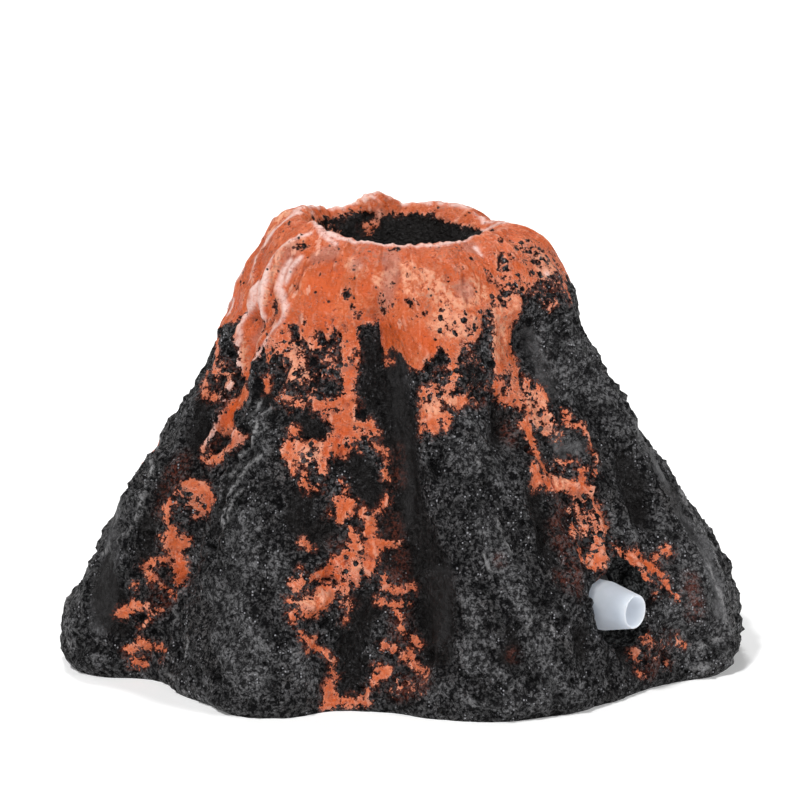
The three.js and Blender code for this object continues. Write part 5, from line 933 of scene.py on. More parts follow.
def relief(points, bearing, place, paint, gap, calm):
    """Height of the fine sculpting in mm, and its crumb part alone."""
    top = smooth(place, 15, 20) * (1 - smooth(place, 26, 29))
    inside = smooth(place, 26.5, 29)
    # the paint fills the finest relief, more so higher up
    coat = smooth(paint, -0.15, 0.45) * (0.35 + 0.65 * smooth(place, 12, 17))
    rough = (1 - 0.72 * coat) * (1 - 0.62 * calm)
    # runs are drawn out upright: arc length against squeezed height
    arc = np.stack([np.radians(bearing) * 34, points[:, 2] * 0.28, np.zeros(len(points))], -1)
    runs = fbm(arc, 3.4, 5)
    lumps = fbm(points, 8.0, 11, octaves=2)
    turned = [turned_frame(points, k) for k in range(1, 9)]
    warp = np.stack([noise3(turned[k], 2.6, 101 + k) for k in range(3)], -1)
    fold = ridged(turned[3] + 1.4 * warp, scale=3.3, seed=23, slope=2.4, power=2)
    crumb = ridged(turned[4] + 0.8 * warp, scale=1.6, seed=29, slope=2.2, power=1.5)
    swell = ridged(turned[7] + 2.4 * warp, scale=6.0, seed=53, slope=2.2, power=1.3)
    grit = noise3(turned[5] + 0.3 * warp, 0.95, 31)
    fine = noise3(turned[6], 0.6, 37)
    knob = noise3(turned[3] + 1.2 * warp, 3.6, 59)
    pits = scattered_pits(turned[1] + 1.3 * warp, 2.7, 41, share=0.36, radius=0.44, softness=0.30)
    pores = scattered_pits(turned[2] + 0.6 * warp, 1.3, 43, share=0.30, radius=0.42, softness=0.26)
    small = 0.28 * fold + 0.18 * (crumb - 0.3) + 0.15 * grit + 0.10 * fine
    small = small - 0.80 * pits - 0.38 * pores
    big = 0.78 * (swell - 0.35) + 0.34 * knob
    height = 0.42 * lumps * (1 - 0.3 * top) + 0.42 * runs * (1 - 0.2 * top)
    height += big * (1 - 0.75 * smooth(place, 17, 21)) * (1 - 0.45 * coat) * (1 - 0.5 * calm)
    height += rough * small
    # thickness of the paint, its gaps and its edge
    height += coat * 0.12
    height -= 0.34 * smooth(gap, -0.35, 0.45) * smooth(place, 8, 14)
    height += 0.10 * smooth(paint, -0.12, 0.25) * (1 - coat)
    # the outside is drawn in all over, and the crater and the foot are calmer
    height -= 0.34 * smooth(place, 0.0, 1.0) * (1 - inside)
    height = height * (1 - 0.45 * inside)
    height *= smooth(place, -0.2, 2.0) * 0.8 + 0.2
    return height, small


def grid_heights():
    height, crumb = relief(BODY, BEARING, PLACE, FIELDS["paint"], GAP, FIELDS["calm"])
    for depth, half, marks in CREASES:
        path, _ = surface(marks[:, 0], marks[:, 1])
        near = near_path(BODY, path, 4 * half)
        height[near] += depth * np.exp(-((path_distance(BODY[near], path) / half) ** 2))
    height += 0.24 * FIELDS["crest"] + 0.12 * FIELDS["line"]
    height -= 0.75 * FIELDS["hollow"] * smooth(PLACE, 0.5, 3)
    # the foot is flatter at the front and on the right
    front = smooth(BEARING, 48, 60) * (1 - smooth(BEARING, 92, 102))
    right = 1 - smooth(BEARING, 8, 22) + smooth(BEARING, 345, 355)
    height -= 0.5 * (front + right) * (1 - smooth(PLACE, 3, 8))
    # the throat stays clear for the stone
    return np.where(PLACE > 29.5, np.minimum(height, 0.0) * 0.6, height), crumb


GRID_HEIGHTS, FIELDS["crumb"] = grid_heights()
ROCK_POINTS = BODY + NORMALS * GRID_HEIGHTS[:, None]
ROCK_POINTS[:, 2] = np.where(PLACE <= 0, 0, np.maximum(ROCK_POINTS[:, 2], 0.02))


# -------------------------------------------------------------- mesh helpers
def add_object(name, mesh, material=None):
    ob = bpy.data.objects.new(name, mesh)
    bpy.context.scene.collection.objects.link(ob)
    if material:
        mesh.materials.append(material)
    return ob


def new_object(name, points, faces, material=None, origin=AXIS):
    mesh = bpy.data.meshes.new(name)
    mesh.from_pydata(((np.asarray(points, float) + origin) * MM).tolist(), [], faces)
    mesh.update()
    return add_object(name, mesh, material)


def band(a, b, count):
    """Quads between rings a and b of count points."""
    return [
        (a * count + j, b * count + j, b * count + (j + 1) % count, a * count + (j + 1) % count)
        for j in range(count)
    ]


def ring_solid(name, rings, material):
    """A solid of stacked rings, closed by a fan at each end."""
    rings = np.asarray(rings, float)
    levels, count = rings.shape[:2]
    points = np.concatenate([rings.reshape(-1, 3), [rings[0].mean(0)], [rings[-1].mean(0)]])
    faces = [face for i in range(levels - 1) for face in band(i, i + 1, count)]
    top = (levels - 1) * count
    for j in range(count):
        k = (j + 1) % count
        faces.append((levels * count, j, k))
        faces.append((levels * count + 1, top + k, top + j))
    return new_object(name, points, faces, material)


def outward_faces(bm, mesh):
    bmesh.ops.recalc_face_normals(bm, faces=bm.faces)
    bm.to_mesh(mesh)
    bm.free()


def lathe(name, profile, segments, material, place=Matrix.Identity(4)):
    """A profile of (radius, height) turned about +Z. Points on the axis are one vertex each."""
    bm = bmesh.new()
    points = list(profile)
    closed = points[0] == points[-1]
    if closed:
        points.pop()
    rings = []
    for radius, z in points:
        if radius <= 1e-6:
            rings.append([bm.verts.new((0, 0, z))])
            continue
        turns = [2 * math.pi * k / segments for k in range(segments)]
        rings.append([bm.verts.new((radius * math.cos(t), radius * math.sin(t), z)) for t in turns])
    for i in range(len(rings) if closed else len(rings) - 1):
        a, b = rings[i], rings[(i + 1) % len(rings)]
        if len(a) == 1 and len(b) == 1:
            continue
        for k in range(segments):
            m = (k + 1) % segments
            if len(a) == 1:
                bm.faces.new((a[0], b[m], b[k]))
            elif len(b) == 1:
                bm.faces.new((a[k], a[m], b[0]))
            else:
                bm.faces.new((a[k], a[m], b[m], b[k]))
    mesh = bpy.data.meshes.new(name)
    outward_faces(bm, mesh)
    mesh.transform(Matrix.Scale(MM, 4) @ Matrix.Translation(Vector(AXIS)) @ place)
    return add_object(name, mesh, material)


def boolean(ob, tool, operation, **settings):
    """Works the tool into the object and removes the tool."""
    modifier = ob.modifiers.new("boolean", "BOOLEAN")
    modifier.operation = operation
    modifier.object = tool
    modifier.solver = "MANIFOLD"
    for key, value in settings.items():
        setattr(modifier, key, value)
    graph = bpy.context.evaluated_depsgraph_get()
    mesh = bpy.data.meshes.new_from_object(ob.evaluated_get(graph), depsgraph=graph)
    old = ob.data
    ob.modifiers.clear()
    ob.data = mesh
    bpy.data.meshes.remove(old)
    bpy.data.objects.remove(tool)


def cut(ob, tool):
    boolean(ob, tool, "DIFFERENCE", material_mode="TRANSFER")


def smooth_shade(ob, angle=None):
    for polygon in ob.data.polygons:
        polygon.use_smooth = True
    if angle is not None:
        ob.data.set_sharp_from_angle(angle=math.radians(angle))


def rounded(profile, radius, steps=3):
    """A closed profile with its corners rounded."""
    points = [np.array(p, float) for p in profile]
    out = []
    for i, p in enumerate(points):
        if p[0] <= 1e-6:
            out.append(tuple(p))
            continue
        a, b = points[i - 1], points[(i + 1) % len(points)]
        to_a, to_b = np.linalg.norm(a - p), np.linalg.norm(b - p)
        reach = min(radius, 0.42 * to_a, 0.42 * to_b)
        start, end = p + (a - p) / to_a * reach, p + (b - p) / to_b * reach
        for k in range(steps + 1):
            t = k / steps
            out.append(tuple((1 - t) ** 2 * start + 2 * t * (1 - t) * p + t * t * end))
    out.append(out[0])
    return out


def finer(profile, step):
    """The same profile with its long edges cut into steps."""
    out = []
    for (r0, z0), (r1, z1) in zip(profile[:-1], profile[1:]):
        count = max(1, int(math.hypot(r1 - r0, z1 - z0) / step))
        for k in range(count):
            out.append((r0 + (r1 - r0) * k / count, z0 + (z1 - z0) * k / count))
    out.append(profile[-1])
    return out


def vertices(ob):
    flat = np.zeros(len(ob.data.vertices) * 3, np.float32)
    ob.data.vertices.foreach_get("co", flat)
    return flat.reshape(-1, 3).astype(float) / MM - AXIS


def push(ob, heights):
    """Moves each vertex along its normal by a height in mm."""
    normals = np.zeros(len(ob.data.vertices) * 3, np.float32)
    ob.data.vertex_normals.foreach_get("vector", normals)
    points = vertices(ob) + normals.reshape(-1, 3) * np.asarray(heights)[:, None]
    ob.data.vertices.foreach_set("co", ((points + AXIS) * MM).astype(np.float32).ravel())
    ob.data.update()


def store(ob, name, values):
    attribute = ob.data.attributes.new(name, "FLOAT", "POINT")
    attribute.data.foreach_set("value", values.astype(np.float32))


# ----------------------------------------------------------------- materials
class Shader:
    """A principled material with short calls for its nodes. Texture sizes are in mm."""

    def __init__(self, name):
        self.mat = bpy.data.materials.new(name)
        self.mat.use_nodes = True
        self.tree = self.mat.node_tree
        self.tree.nodes.clear()
        output = self.tree.nodes.new("ShaderNodeOutputMaterial")
        self.bsdf = self.tree.nodes.new("ShaderNodeBsdfPrincipled")
        self.tree.links.new(self.bsdf.outputs[0], output.inputs[0])
        self.place = self.tree.nodes.new("ShaderNodeTexCoord").outputs["Object"]

    def put(self, socket, value):
        if isinstance(value, bpy.types.NodeSocket):
            self.tree.links.new(value, socket)
        elif socket.type == "RGBA":
            socket.default_value = tuple(value) + (1.0,)
        else:
            socket.default_value = value

    def node(self, kind, inputs, **settings):
        """A node with its settings and its inputs, by index or name."""
        node = self.tree.nodes.new("ShaderNode" + kind)
        for key, value in settings.items():
            setattr(node, key, value)
        for key, value in inputs.items():
            self.put(node.inputs[key], value)
        return node

    def set(self, **values):
        for key, value in values.items():
            self.put(self.bsdf.inputs[key.replace("_", " ")], value)

    def math(self, operation, a, b=0.0, c=0.0):
        return self.node("Math", {0: a, 1: b, 2: c}, operation=operation).outputs[0]

    def add(self, first, *others):
        for other in others:
            first = self.math("ADD", first, other)
        return first

    def mul(self, a, b):
        return self.math("MULTIPLY", a, b)

    def inv(self, x):
        return self.math("SUBTRACT", 1.0, x)

    def swing(self, noise, amount):
        """A noise about zero, times an amount."""
        return self.mul(self.add(noise, -0.5), amount)

    def step(self, x, start, end, low=0.0, high=1.0):
        """A soft step from low where x is start to high where x is end."""
        inputs = dict(enumerate((x, start, end, low, high)))
        return self.node("MapRange", inputs, interpolation_type="SMOOTHSTEP").outputs[0]

    def lerp(self, share, a, b):
        """Colour a, giving way to colour b by the share."""
        return self.node("Mix", {0: share, 6: a, 7: b}, data_type="RGBA").outputs[2]

    def flerp(self, share, a, b):
        return self.node("Mix", {0: share, 2: a, 3: b}, data_type="FLOAT").outputs[0]

    def noise(self, mm, detail=3.0, rough=0.5, place=None, out="Fac"):
        return self.node("TexNoise", {
            "Vector": place or self.place, "Scale": 1000.0 / mm, "Detail": detail,
            "Roughness": rough,
        }).outputs[out]

    def cells(self, mm, feature="F1", out="Distance", place=None):
        inputs = {"Vector": place or self.place, "Scale": 1000.0 / mm}
        return self.node("TexVoronoi", inputs, feature=feature).outputs[out]

    def attr(self, name):
        return self.node("Attribute", {}, attribute_name=name).outputs["Fac"]

    def scale(self, colour, factor):
        return self.node("VectorMath", {0: colour, "Scale": factor}, operation="SCALE").outputs[0]

    def parts(self, colour):
        return self.node("SeparateColor", {0: colour}).outputs

    def bump(self, height, strength):
        inputs = {"Strength": strength, "Distance": 0.001, "Height": height}
        return self.node("Bump", inputs).outputs[0]

    def mottle(self, mm, detail, low, high, start=0.3, end=0.7):
        """A number that wanders from low to high."""
        return self.step(self.noise(mm, detail), start, end, low, high)

    def tints(self, mm, detail, dark, light, start=0.3, end=0.7):
        """A colour that wanders from dark to light."""
        return self.lerp(self.step(self.noise(mm, detail), start, end), dark, light)


ROCK_ATTRIBUTES = (
    "paint", "speck", "pale", "worn", "deep", "dull", "crumb", "calm", "wash", "line", "haze",
)
# The colours for the crests and the thin ridge lines are painted light; those for crevices, dips,
# sunken chips, hollows and the inside of the crater are painted shade.
ROCK_TINT = {
    "dark": (0.050, 0.0485, 0.0505),
    "mid": (0.088, 0.086, 0.090),
    "warm": (0.070, 0.062, 0.060),
    "crest": (0.185, 0.184, 0.190),
    "fleck": (0.235, 0.232, 0.242),
    "crevice": (0.0062, 0.0061, 0.0067),
    "crest crevice": (0.0210, 0.0206, 0.0218),
    "dip_shade": (0.0050, 0.0049, 0.0054),
    "sunken chip": (0.0030, 0.0030, 0.0032),
    "glint": (0.44, 0.44, 0.47),
    "hollow": (0.0078, 0.0068, 0.0066),
    "line": (0.300, 0.296, 0.300),
    "cave": (0.0092, 0.0080, 0.0074),
    "red dust": (0.125, 0.032, 0.020),
}
# The ridge colour is a painted highlight, the crack colour painted shade and the nearly white colour
# a painted sheen; the pale colour is partly a painted sheen.
PAINT_TINT = {
    "base": (0.545, 0.082, 0.011),
    "bright base": (0.585, 0.106, 0.023),
    "light patch": (0.64, 0.165, 0.066),
    "dab": (0.76, 0.285, 0.150),
    "fleck": (0.82, 0.360, 0.220),
    "deep": (0.60, 0.088, 0.012),
    "pale": (0.80, 0.37, 0.225),
    "dull": (0.42, 0.170, 0.125),
    "ridge": (0.82, 0.42, 0.30),
    "crack_shade": (0.22, 0.030, 0.012),
    "pit": (0.27, 0.044, 0.020),
    "rim": (0.80, 0.36, 0.24),
    "thin": (0.26, 0.050, 0.026),
    "grime": (0.28, 0.095, 0.065),
    "worn": (0.84, 0.585, 0.530),
}


def rock_textures(sh):
    """Noises and cells shared by the rock and the paint."""
    warped = sh.node("VectorMath", {
        0: sh.noise(mm=1.4, detail=3, out="Color"), 1: (0.0009, 0.0009, 0.0009), 2: sh.place,
    }, operation="MULTIPLY_ADD").outputs[0]
    return SimpleNamespace(
        warped=warped,
        big=sh.noise(mm=8.0, detail=3, rough=0.55),
        hollow=sh.noise(mm=3.4, detail=2, place=warped),
        mid=sh.noise(mm=2.4, detail=4, rough=0.62),
        small=sh.noise(mm=0.8, detail=4, rough=0.66),
        tiny=sh.noise(mm=0.34, detail=3, rough=0.65),
        fine=sh.noise(mm=0.46, detail=3, rough=0.6),
        grain=sh.cells(mm=0.64, place=warped),
        fine_grain=sh.cells(mm=0.28, place=warped),
        chips=sh.parts(sh.cells(mm=1.7, out="Color", place=warped)),
    )


def paint_cover(sh, at, tex):
    """The depth inside the paint with broken edges, and a mask of where it lies."""
    spot_at = sh.cells(mm=1.20, place=tex.warped)
    spot_number = sh.parts(sh.cells(mm=1.20, out="Color", place=tex.warped))[0]
    spot = sh.mul(sh.step(spot_at, 0.44, 0.30), sh.step(spot_number, 0.40, 0.46))
    base = sh.math("MAXIMUM", sh.math("MINIMUM", at.paint, 0.8), -1.8)
    # speckled paint is held near its edge, so that the noises break it into a mosaic
    mosaic = sh.math("MAXIMUM", sh.math("MINIMUM", base, 0.28), -0.30)
    field = sh.add(
        sh.flerp(at.speck, base, mosaic),
        sh.swing(tex.mid, sh.flerp(at.speck, 1.7, 1.8)),
        sh.swing(tex.small, sh.flerp(at.speck, 2.7, 2.8)),
        sh.swing(tex.tiny, sh.flerp(at.speck, 1.9, 2.0)),
        sh.mul(at.crumb, sh.flerp(at.speck, 0.35, 0.45)),
        sh.mul(spot, sh.flerp(at.speck, -0.15, -1.15)),
    )
    mask = sh.step(field, -0.03, 0.09)
    # round holes at the spot middles, in scattered patches
    hole = sh.step(spot_at, 0.16, 0.22)
    patches = sh.step(sh.noise(mm=3.2, detail=2), 0.53, 0.60)
    return field, sh.mul(mask, sh.math("MAXIMUM", hole, sh.inv(patches)))


def bare_rock(sh, at, tex, field):
    """Colour, relief, shine and darkness of the unpainted rock."""
    seed = sh.parts(sh.cells(mm=0.36, out="Color"))
    dot = sh.step(sh.cells(mm=0.36), 0.46, 0.26)
    glint_patches = sh.step(sh.noise(mm=3.6, rough=0.6), 0.47, 0.60)
    glint = sh.mul(sh.mul(sh.step(seed[0], 0.84, 0.92), dot), glint_patches)
    fleck_patches = sh.step(sh.noise(mm=3.8, rough=0.6), 0.44, 0.58)
    fleck = sh.mul(sh.step(tex.fine, 0.55, 0.66), fleck_patches)
    # the calm zones, hollows and crests have ragged edges
    ragged = sh.add(sh.swing(tex.mid, 1.6), sh.swing(tex.small, 1.2))
    quiet = sh.step(sh.add(at.calm, sh.mul(ragged, 0.9)), 0.30, 0.95)
    # painted shade in the hollows and painted light on the crests
    dark = sh.step(sh.add(sh.mul(at.wash, -1.0), ragged), 0.15, 0.95)
    light = sh.step(sh.add(at.wash, ragged), 0.10, 0.95)
    lively = sh.inv(sh.mul(quiet, 0.70))
    grains = sh.add(
        sh.mul(sh.math("POWER", tex.grain, 1.5), -0.50),
        sh.mul(sh.math("POWER", tex.fine_grain, 1.5), -0.42),
        sh.mul(tex.small, 0.70),
        sh.mul(tex.fine, 0.40),
        sh.mul(tex.tiny, 0.40),
        sh.mul(tex.mid, 0.25),
    )
    # painted shade: crevices between the grains and in the pits are dark and dull, their tops grey
    # and shiny
    crumb_top = sh.step(sh.add(at.crumb, sh.swing(tex.small, 1.0)), -0.62, 0.12, 0.22, 1.0)
    tops = sh.mul(sh.step(grains, 0.34, 0.86, 0.0, 1.0), crumb_top)
    tops = sh.flerp(sh.mul(quiet, 0.70), tops, 0.42)

    tint = ROCK_TINT
    grey = sh.lerp(sh.step(tex.mid, 0.36, 0.66), tint["dark"], tint["mid"])
    grey = sh.lerp(sh.step(tex.big, 0.5, 0.66, 0, 0.6), grey, tint["warm"])
    # each chip has its own brightness, from 0.48 up
    grey = sh.scale(grey, sh.math("MULTIPLY_ADD", tex.chips[0], 1.10, 0.48))
    # painted light: lighter grey on the crests
    grey = sh.lerp(sh.mul(light, 0.76), grey, tint["crest"])
    grey = sh.lerp(sh.mul(sh.mul(fleck, lively), 0.80), grey, tint["fleck"])
    # painted shade in the crevices, less dark on the crests
    grey = sh.lerp(tops, sh.lerp(light, tint["crevice"], tint["crest crevice"]), grey)
    # painted shade of small dips: nearly black where the hollow noise is low
    dip_shade = sh.mul(sh.step(tex.hollow, 0.54, 0.34), sh.mul(lively, 0.70))
    grey = sh.lerp(dip_shade, grey, tint["dip_shade"])
    # sunken chips, pressed into the bump, painted nearly black as painted shade
    sunk_at = sh.step(sh.cells(mm=2.3, place=tex.warped), 0.34, 0.22)
    sunk = sh.mul(sunk_at, sh.step(tex.chips[1], 0.55, 0.62))
    grey = sh.lerp(sh.mul(sunk, 0.85), grey, tint["sunken chip"])
    grey = sh.lerp(sh.mul(sh.mul(glint, lively), 0.9), grey, tint["glint"])
    # painted shade: nearly black in the hollows
    grey = sh.lerp(sh.mul(dark, 0.76), grey, tint["hollow"])
    # painted highlight along the thin ridges
    grey = sh.lerp(sh.mul(at.line, sh.step(tex.small, 0.42, 0.56, 0.05, 0.85)), grey, tint["line"])
    # painted shade inside the crater and on the cut faces
    grey = sh.lerp(sh.mul(at.cave, 0.94), grey, tint["cave"])
    # a haze of red round the paint
    dusty = sh.math("MAXIMUM", sh.step(field, -0.85, -0.05), sh.mul(at.haze, 0.9))
    powder = sh.step(sh.add(tex.fine, sh.mul(tex.mid, 0.6)), 0.74, 0.90, 0.05, 0.80)
    dust = sh.mul(sh.mul(dusty, powder), sh.flerp(at.cave, 1.0, 0.3))
    grey = sh.lerp(dust, grey, tint["red dust"])

    height = sh.add(
        grains, sh.mul(glint, 0.08), sh.mul(tex.chips[0], 0.22), sh.mul(sunk, -0.5),
    )
    height = sh.mul(height, sh.inv(sh.mul(sh.math("MAXIMUM", quiet, at.cave), 0.60)))
    dull = sh.math("MAXIMUM", at.cave, sh.mul(dark, 0.8))
    shine = sh.flerp(dull, sh.flerp(tops, 0.03, 0.60), 0.10)
    return grey, height, shine


def paint_colour(sh, at, tex, field):
    tint = PAINT_TINT
    point = sh.node("NewGeometry", {}).outputs["Pointiness"]
    orange = sh.lerp(sh.step(tex.big, 0.38, 0.60), tint["base"], tint["bright base"])
    orange = sh.lerp(sh.step(tex.mid, 0.50, 0.64, 0, 0.42), orange, tint["light patch"])
    dab = sh.mul(sh.step(tex.small, 0.52, 0.60), sh.step(tex.hollow, 0.40, 0.56, 0.15, 0.85))
    orange = sh.lerp(sh.mul(dab, sh.flerp(at.pale, 0.40, 1.0)), orange, tint["dab"])
    fleck = sh.mul(sh.step(tex.fine, 0.57, 0.68), sh.flerp(at.pale, 0.38, 0.80))
    orange = sh.lerp(fleck, orange, tint["fleck"])
    orange = sh.lerp(sh.mul(at.deep, 0.78), orange, tint["deep"])
    # paler paint, partly a painted sheen along ridges of the rim
    mixed = sh.add(sh.mul(tex.small, 0.7), sh.mul(tex.mid, 0.5))
    pale = sh.mul(at.pale, sh.step(mixed, 0.54, 0.70, 0.10, 0.95))
    orange = sh.lerp(sh.mul(pale, 0.9), orange, tint["pale"])
    orange = sh.lerp(sh.mul(at.dull, 0.60), orange, tint["dull"])
    # painted highlight on sharp ridges and painted shade in cracks, by their pointiness
    orange = sh.lerp(sh.step(point, 0.510, 0.56, 0, 0.6), orange, tint["ridge"])
    orange = sh.lerp(sh.step(point, 0.492, 0.440, 0, 0.8), orange, tint["crack_shade"])
    pit = sh.step(sh.add(tex.small, sh.mul(tex.fine, 0.5)), 0.68, 0.58)
    pit = sh.mul(pit, sh.step(tex.mid, 0.40, 0.56, 0.20, 0.85))
    orange = sh.lerp(pit, orange, tint["pit"])
    # a light rim just inside the edge, and thin dark paint at the very edge
    rim = sh.mul(sh.step(field, 0.04, 0.16), sh.step(field, 0.50, 0.26))
    orange = sh.lerp(sh.mul(rim, sh.flerp(at.speck, 0.25, 0.60)), orange, tint["rim"])
    thick = sh.step(field, 0.0, 0.34)
    orange = sh.lerp(sh.step(thick, 0, 0.6, 0.62, 0), orange, tint["thin"])
    grime_patches = sh.step(sh.noise(mm=5.5, rough=0.6), 0.48, 0.62)
    grime = sh.mul(sh.step(tex.small, 0.50, 0.62), grime_patches)
    orange = sh.lerp(sh.mul(grime, 0.58), orange, tint["grime"])
    # painted shade: darker where the mid noise, and so the bump of the paint, is low
    orange = sh.scale(orange, sh.step(tex.mid, 0.38, 0.54, 0.85, 1.0))
    # painted sheen: nearly white along the marked ridges and the lip
    worn = sh.mul(at.worn, sh.step(tex.small, 0.34, 0.56, 0.45, 0.92))
    return sh.lerp(worn, orange, tint["worn"])


def rock_material():
    """Pitted grey rock and broken orange paint, placed by the attributes of the shell."""
    sh = Shader("lava_rock")
    at = SimpleNamespace(**{name: sh.attr(name) for name in (*ROCK_ATTRIBUTES, "cave")})
    tex = rock_textures(sh)
    field, mask = paint_cover(sh, at, tex)
    grey, rock_height, rock_shine = bare_rock(sh, at, tex, field)
    paint_height = sh.add(
        sh.mul(tex.mid, 0.36),
        sh.mul(tex.small, 0.60),
        sh.mul(tex.fine, 0.22),
        sh.mul(tex.tiny, 0.12),
        sh.mul(sh.math("POWER", tex.grain, 1.5), -0.12),
    )
    # the paint stands 0.12 mm proud
    height = sh.add(sh.flerp(mask, rock_height, paint_height), sh.mul(mask, 0.12))
    rock_rough = sh.step(tex.small, 0.34, 0.66, 0.34, 0.56)
    paint_rough = sh.step(tex.small, 0.3, 0.75, 0.24, 0.44)
    sh.set(
        Base_Color=sh.lerp(mask, grey, paint_colour(sh, at, tex, field)),
        Roughness=sh.flerp(mask, rock_rough, paint_rough),
        Specular_IOR_Level=sh.flerp(mask, rock_shine, 0.32),
        Normal=sh.bump(height, strength=0.8),
    )
    return sh.mat


def cavity_material():
    """The dark cast inside of the shell."""
    sh = Shader("cast_inside")
    grit = sh.noise(mm=0.7, detail=4, rough=0.65)
    colour = sh.tints(5.0, 3, (0.012, 0.012, 0.0135), (0.030, 0.030, 0.033), start=0.35)
    colour = sh.lerp(sh.mul(sh.step(grit, 0.55, 0.7), 0.35), colour, (0.07, 0.071, 0.075))
    height = sh.add(sh.mul(grit, 0.16), sh.mul(sh.noise(mm=2.2, detail=2), 0.2))
    sh.set(
        Base_Color=colour,
        Roughness=sh.step(grit, 0.3, 0.7, 0.45, 0.7),
        Specular_IOR_Level=0.4,
        Normal=sh.bump(height, strength=0.8),
    )
    return sh.mat


def recess_material():
    """Cast rock inside the recess, painted black in its crevices as painted shade."""
    sh = Shader("recess_rock")
    mid = sh.noise(mm=2.2, detail=4, rough=0.6)
    small = sh.noise(mm=0.8, detail=4, rough=0.66)
    fine = sh.noise(mm=0.34, detail=3, rough=0.6)
    grains = sh.add(
        sh.mul(sh.cells(mm=0.8), -0.5),
        sh.mul(sh.cells(mm=0.34), -0.45),
        sh.mul(small, 0.9),
        sh.mul(fine, 0.6),
        sh.mul(mid, 0.5),
    )
    # painted shade: black between the grains, grey on their tops
    tops = sh.step(grains, 0.36, 0.86)
    colour = sh.lerp(tops, (0.0085, 0.0088, 0.0090), (0.088, 0.091, 0.091))
    fleck = sh.mul(sh.step(fine, 0.56, 0.68), sh.mul(sh.step(mid, 0.44, 0.6), 0.7))
    sh.set(
        Base_Color=sh.lerp(fleck, colour, (0.20, 0.203, 0.206)),
        Roughness=sh.step(small, 0.3, 0.7, 0.34, 0.6),
        Specular_IOR_Level=sh.flerp(tops, 0.05, 0.5),
        Normal=sh.bump(sh.mul(grains, 1.1), strength=0.9),
    )
    return sh.mat


def milky_plastic():
    sh = Shader("milky_plastic")
    sh.set(
        Base_Color=sh.tints(3.0, 3, (0.265, 0.280, 0.300), (0.315, 0.330, 0.352)),
        Roughness=sh.mottle(1.1, 3, low=0.50, high=0.64),
        Subsurface_Weight=1.0,
        Subsurface_Scale=0.004,
        Subsurface_Radius=(1.0, 1.1, 1.25),
        Specular_IOR_Level=0.25,
        # a painted glow standing in for light that comes through the wall, stronger on the bore
        Emission_Color=(0.50, 0.535, 0.595),
        Emission_Strength=sh.add(sh.mul(sh.attr("bore"), 0.30), 0.28),
        Normal=sh.bump(sh.mul(sh.noise(mm=0.9, detail=2), 0.02), strength=0.6),
    )
    return sh.mat


def rubber():
    sh = Shader("black_rubber")
    sh.set(
        Base_Color=sh.tints(1.8, 4, (0.010, 0.010, 0.011), (0.028, 0.028, 0.030), start=0.35),
        Roughness=sh.mottle(0.6, 3, low=0.55, high=0.8),
        Normal=sh.bump(sh.mul(sh.noise(mm=0.25), 0.05), strength=0.7),
    )
    return sh.mat


def clear_soft(name, dark, light, rough, grain):
    sh = Shader(name)
    sh.set(
        Base_Color=sh.tints(2.6, 3, dark, light),
        Roughness=sh.mottle(1.0, 3, *rough),
        Subsurface_Weight=0.3,
        Subsurface_Scale=0.0015,
        Normal=sh.bump(sh.mul(sh.noise(mm=1.6), grain), strength=0.6),
    )
    return sh.mat


def moulded(name, dark, light, rough):
    sh = Shader(name)
    height = sh.add(sh.mul(sh.noise(mm=0.35), 0.035), sh.mul(sh.noise(mm=4, detail=2), 0.05))
    sh.set(
        Base_Color=sh.tints(3.5, 3, dark, light),
        Roughness=sh.mottle(0.8, 4, *rough),
        Normal=sh.bump(height, strength=0.6),
    )
    return sh.mat


def stone_material():
    """Sintered grains, each its own grey, with dark joints."""
    sh = Shader("sintered_grain")
    number = sh.parts(sh.cells(mm=0.5, out="Color"))
    colour = sh.lerp(number[0], (0.19, 0.205, 0.215), (0.42, 0.435, 0.44))
    colour = sh.lerp(sh.step(number[1], 0.88, 0.95), colour, (0.62, 0.63, 0.62))
    joint = sh.step(sh.cells(0.5, "DISTANCE_TO_EDGE"), 0.10, 0.0, 0, 0.8)
    colour = sh.lerp(joint, colour, (0.06, 0.065, 0.07))
    dome = sh.step(sh.cells(0.5, "DISTANCE_TO_EDGE"), 0.0, 0.25)
    height = sh.add(sh.mul(dome, 0.16), sh.mul(sh.noise(mm=0.3), 0.08))
    sh.set(
        Base_Color=colour,
        Roughness=sh.mottle(0.5, 3, low=0.7, high=0.95),
        Normal=sh.bump(height, strength=1.0),
    )
    return sh.mat


ROCK = rock_material()
CAVITY_RESIN = cavity_material()
RECESS_ROCK = recess_material()
MILKY = milky_plastic()
BLACK_RUBBER = rubber()
SEALANT = clear_soft("clear_silicone", dark=(0.42, 0.46, 0.48), light=(0.56, 0.60, 0.62),
                     rough=(0.18, 0.35), grain=0.03)
HOSE = clear_soft("hose_plastic", dark=(0.46, 0.58, 0.62), light=(0.56, 0.66, 0.70),
                  rough=(0.12, 0.26), grain=0.015)
STEM = moulded("stem_plastic", dark=(0.016, 0.115, 0.26), light=(0.030, 0.155, 0.32),
               rough=(0.22, 0.38))
STONE = stone_material()
HOLDER = moulded("holder_plastic", dark=(0.012, 0.012, 0.013), light=(0.026, 0.026, 0.029),
                 rough=(0.32, 0.5))
GLUE = clear_soft("hot_glue", dark=(0.60, 0.54, 0.38), light=(0.72, 0.67, 0.52),
                  rough=(0.2, 0.36), grain=0.05)

# ---------------------------------------------------------------- dimensions
WALL = 6
# thickness of the wall: height, factor on WALL
CAVITY = np.array([(35, 1), (39.5, 1.05), (42.4, 1.15), (44, 1.4)])
LEDGE_Z = 44
THROAT_R = SECTION[-1, 0]

INLET = Vector((31.6, -23.6, 13.2))
INLET_BEARING = math.radians(40)
INLET_DIR = Vector((math.cos(INLET_BEARING), -math.sin(INLET_BEARING), 0))
RECESS_DEPTH, INLET_BORE_R = 4.8, 5.35
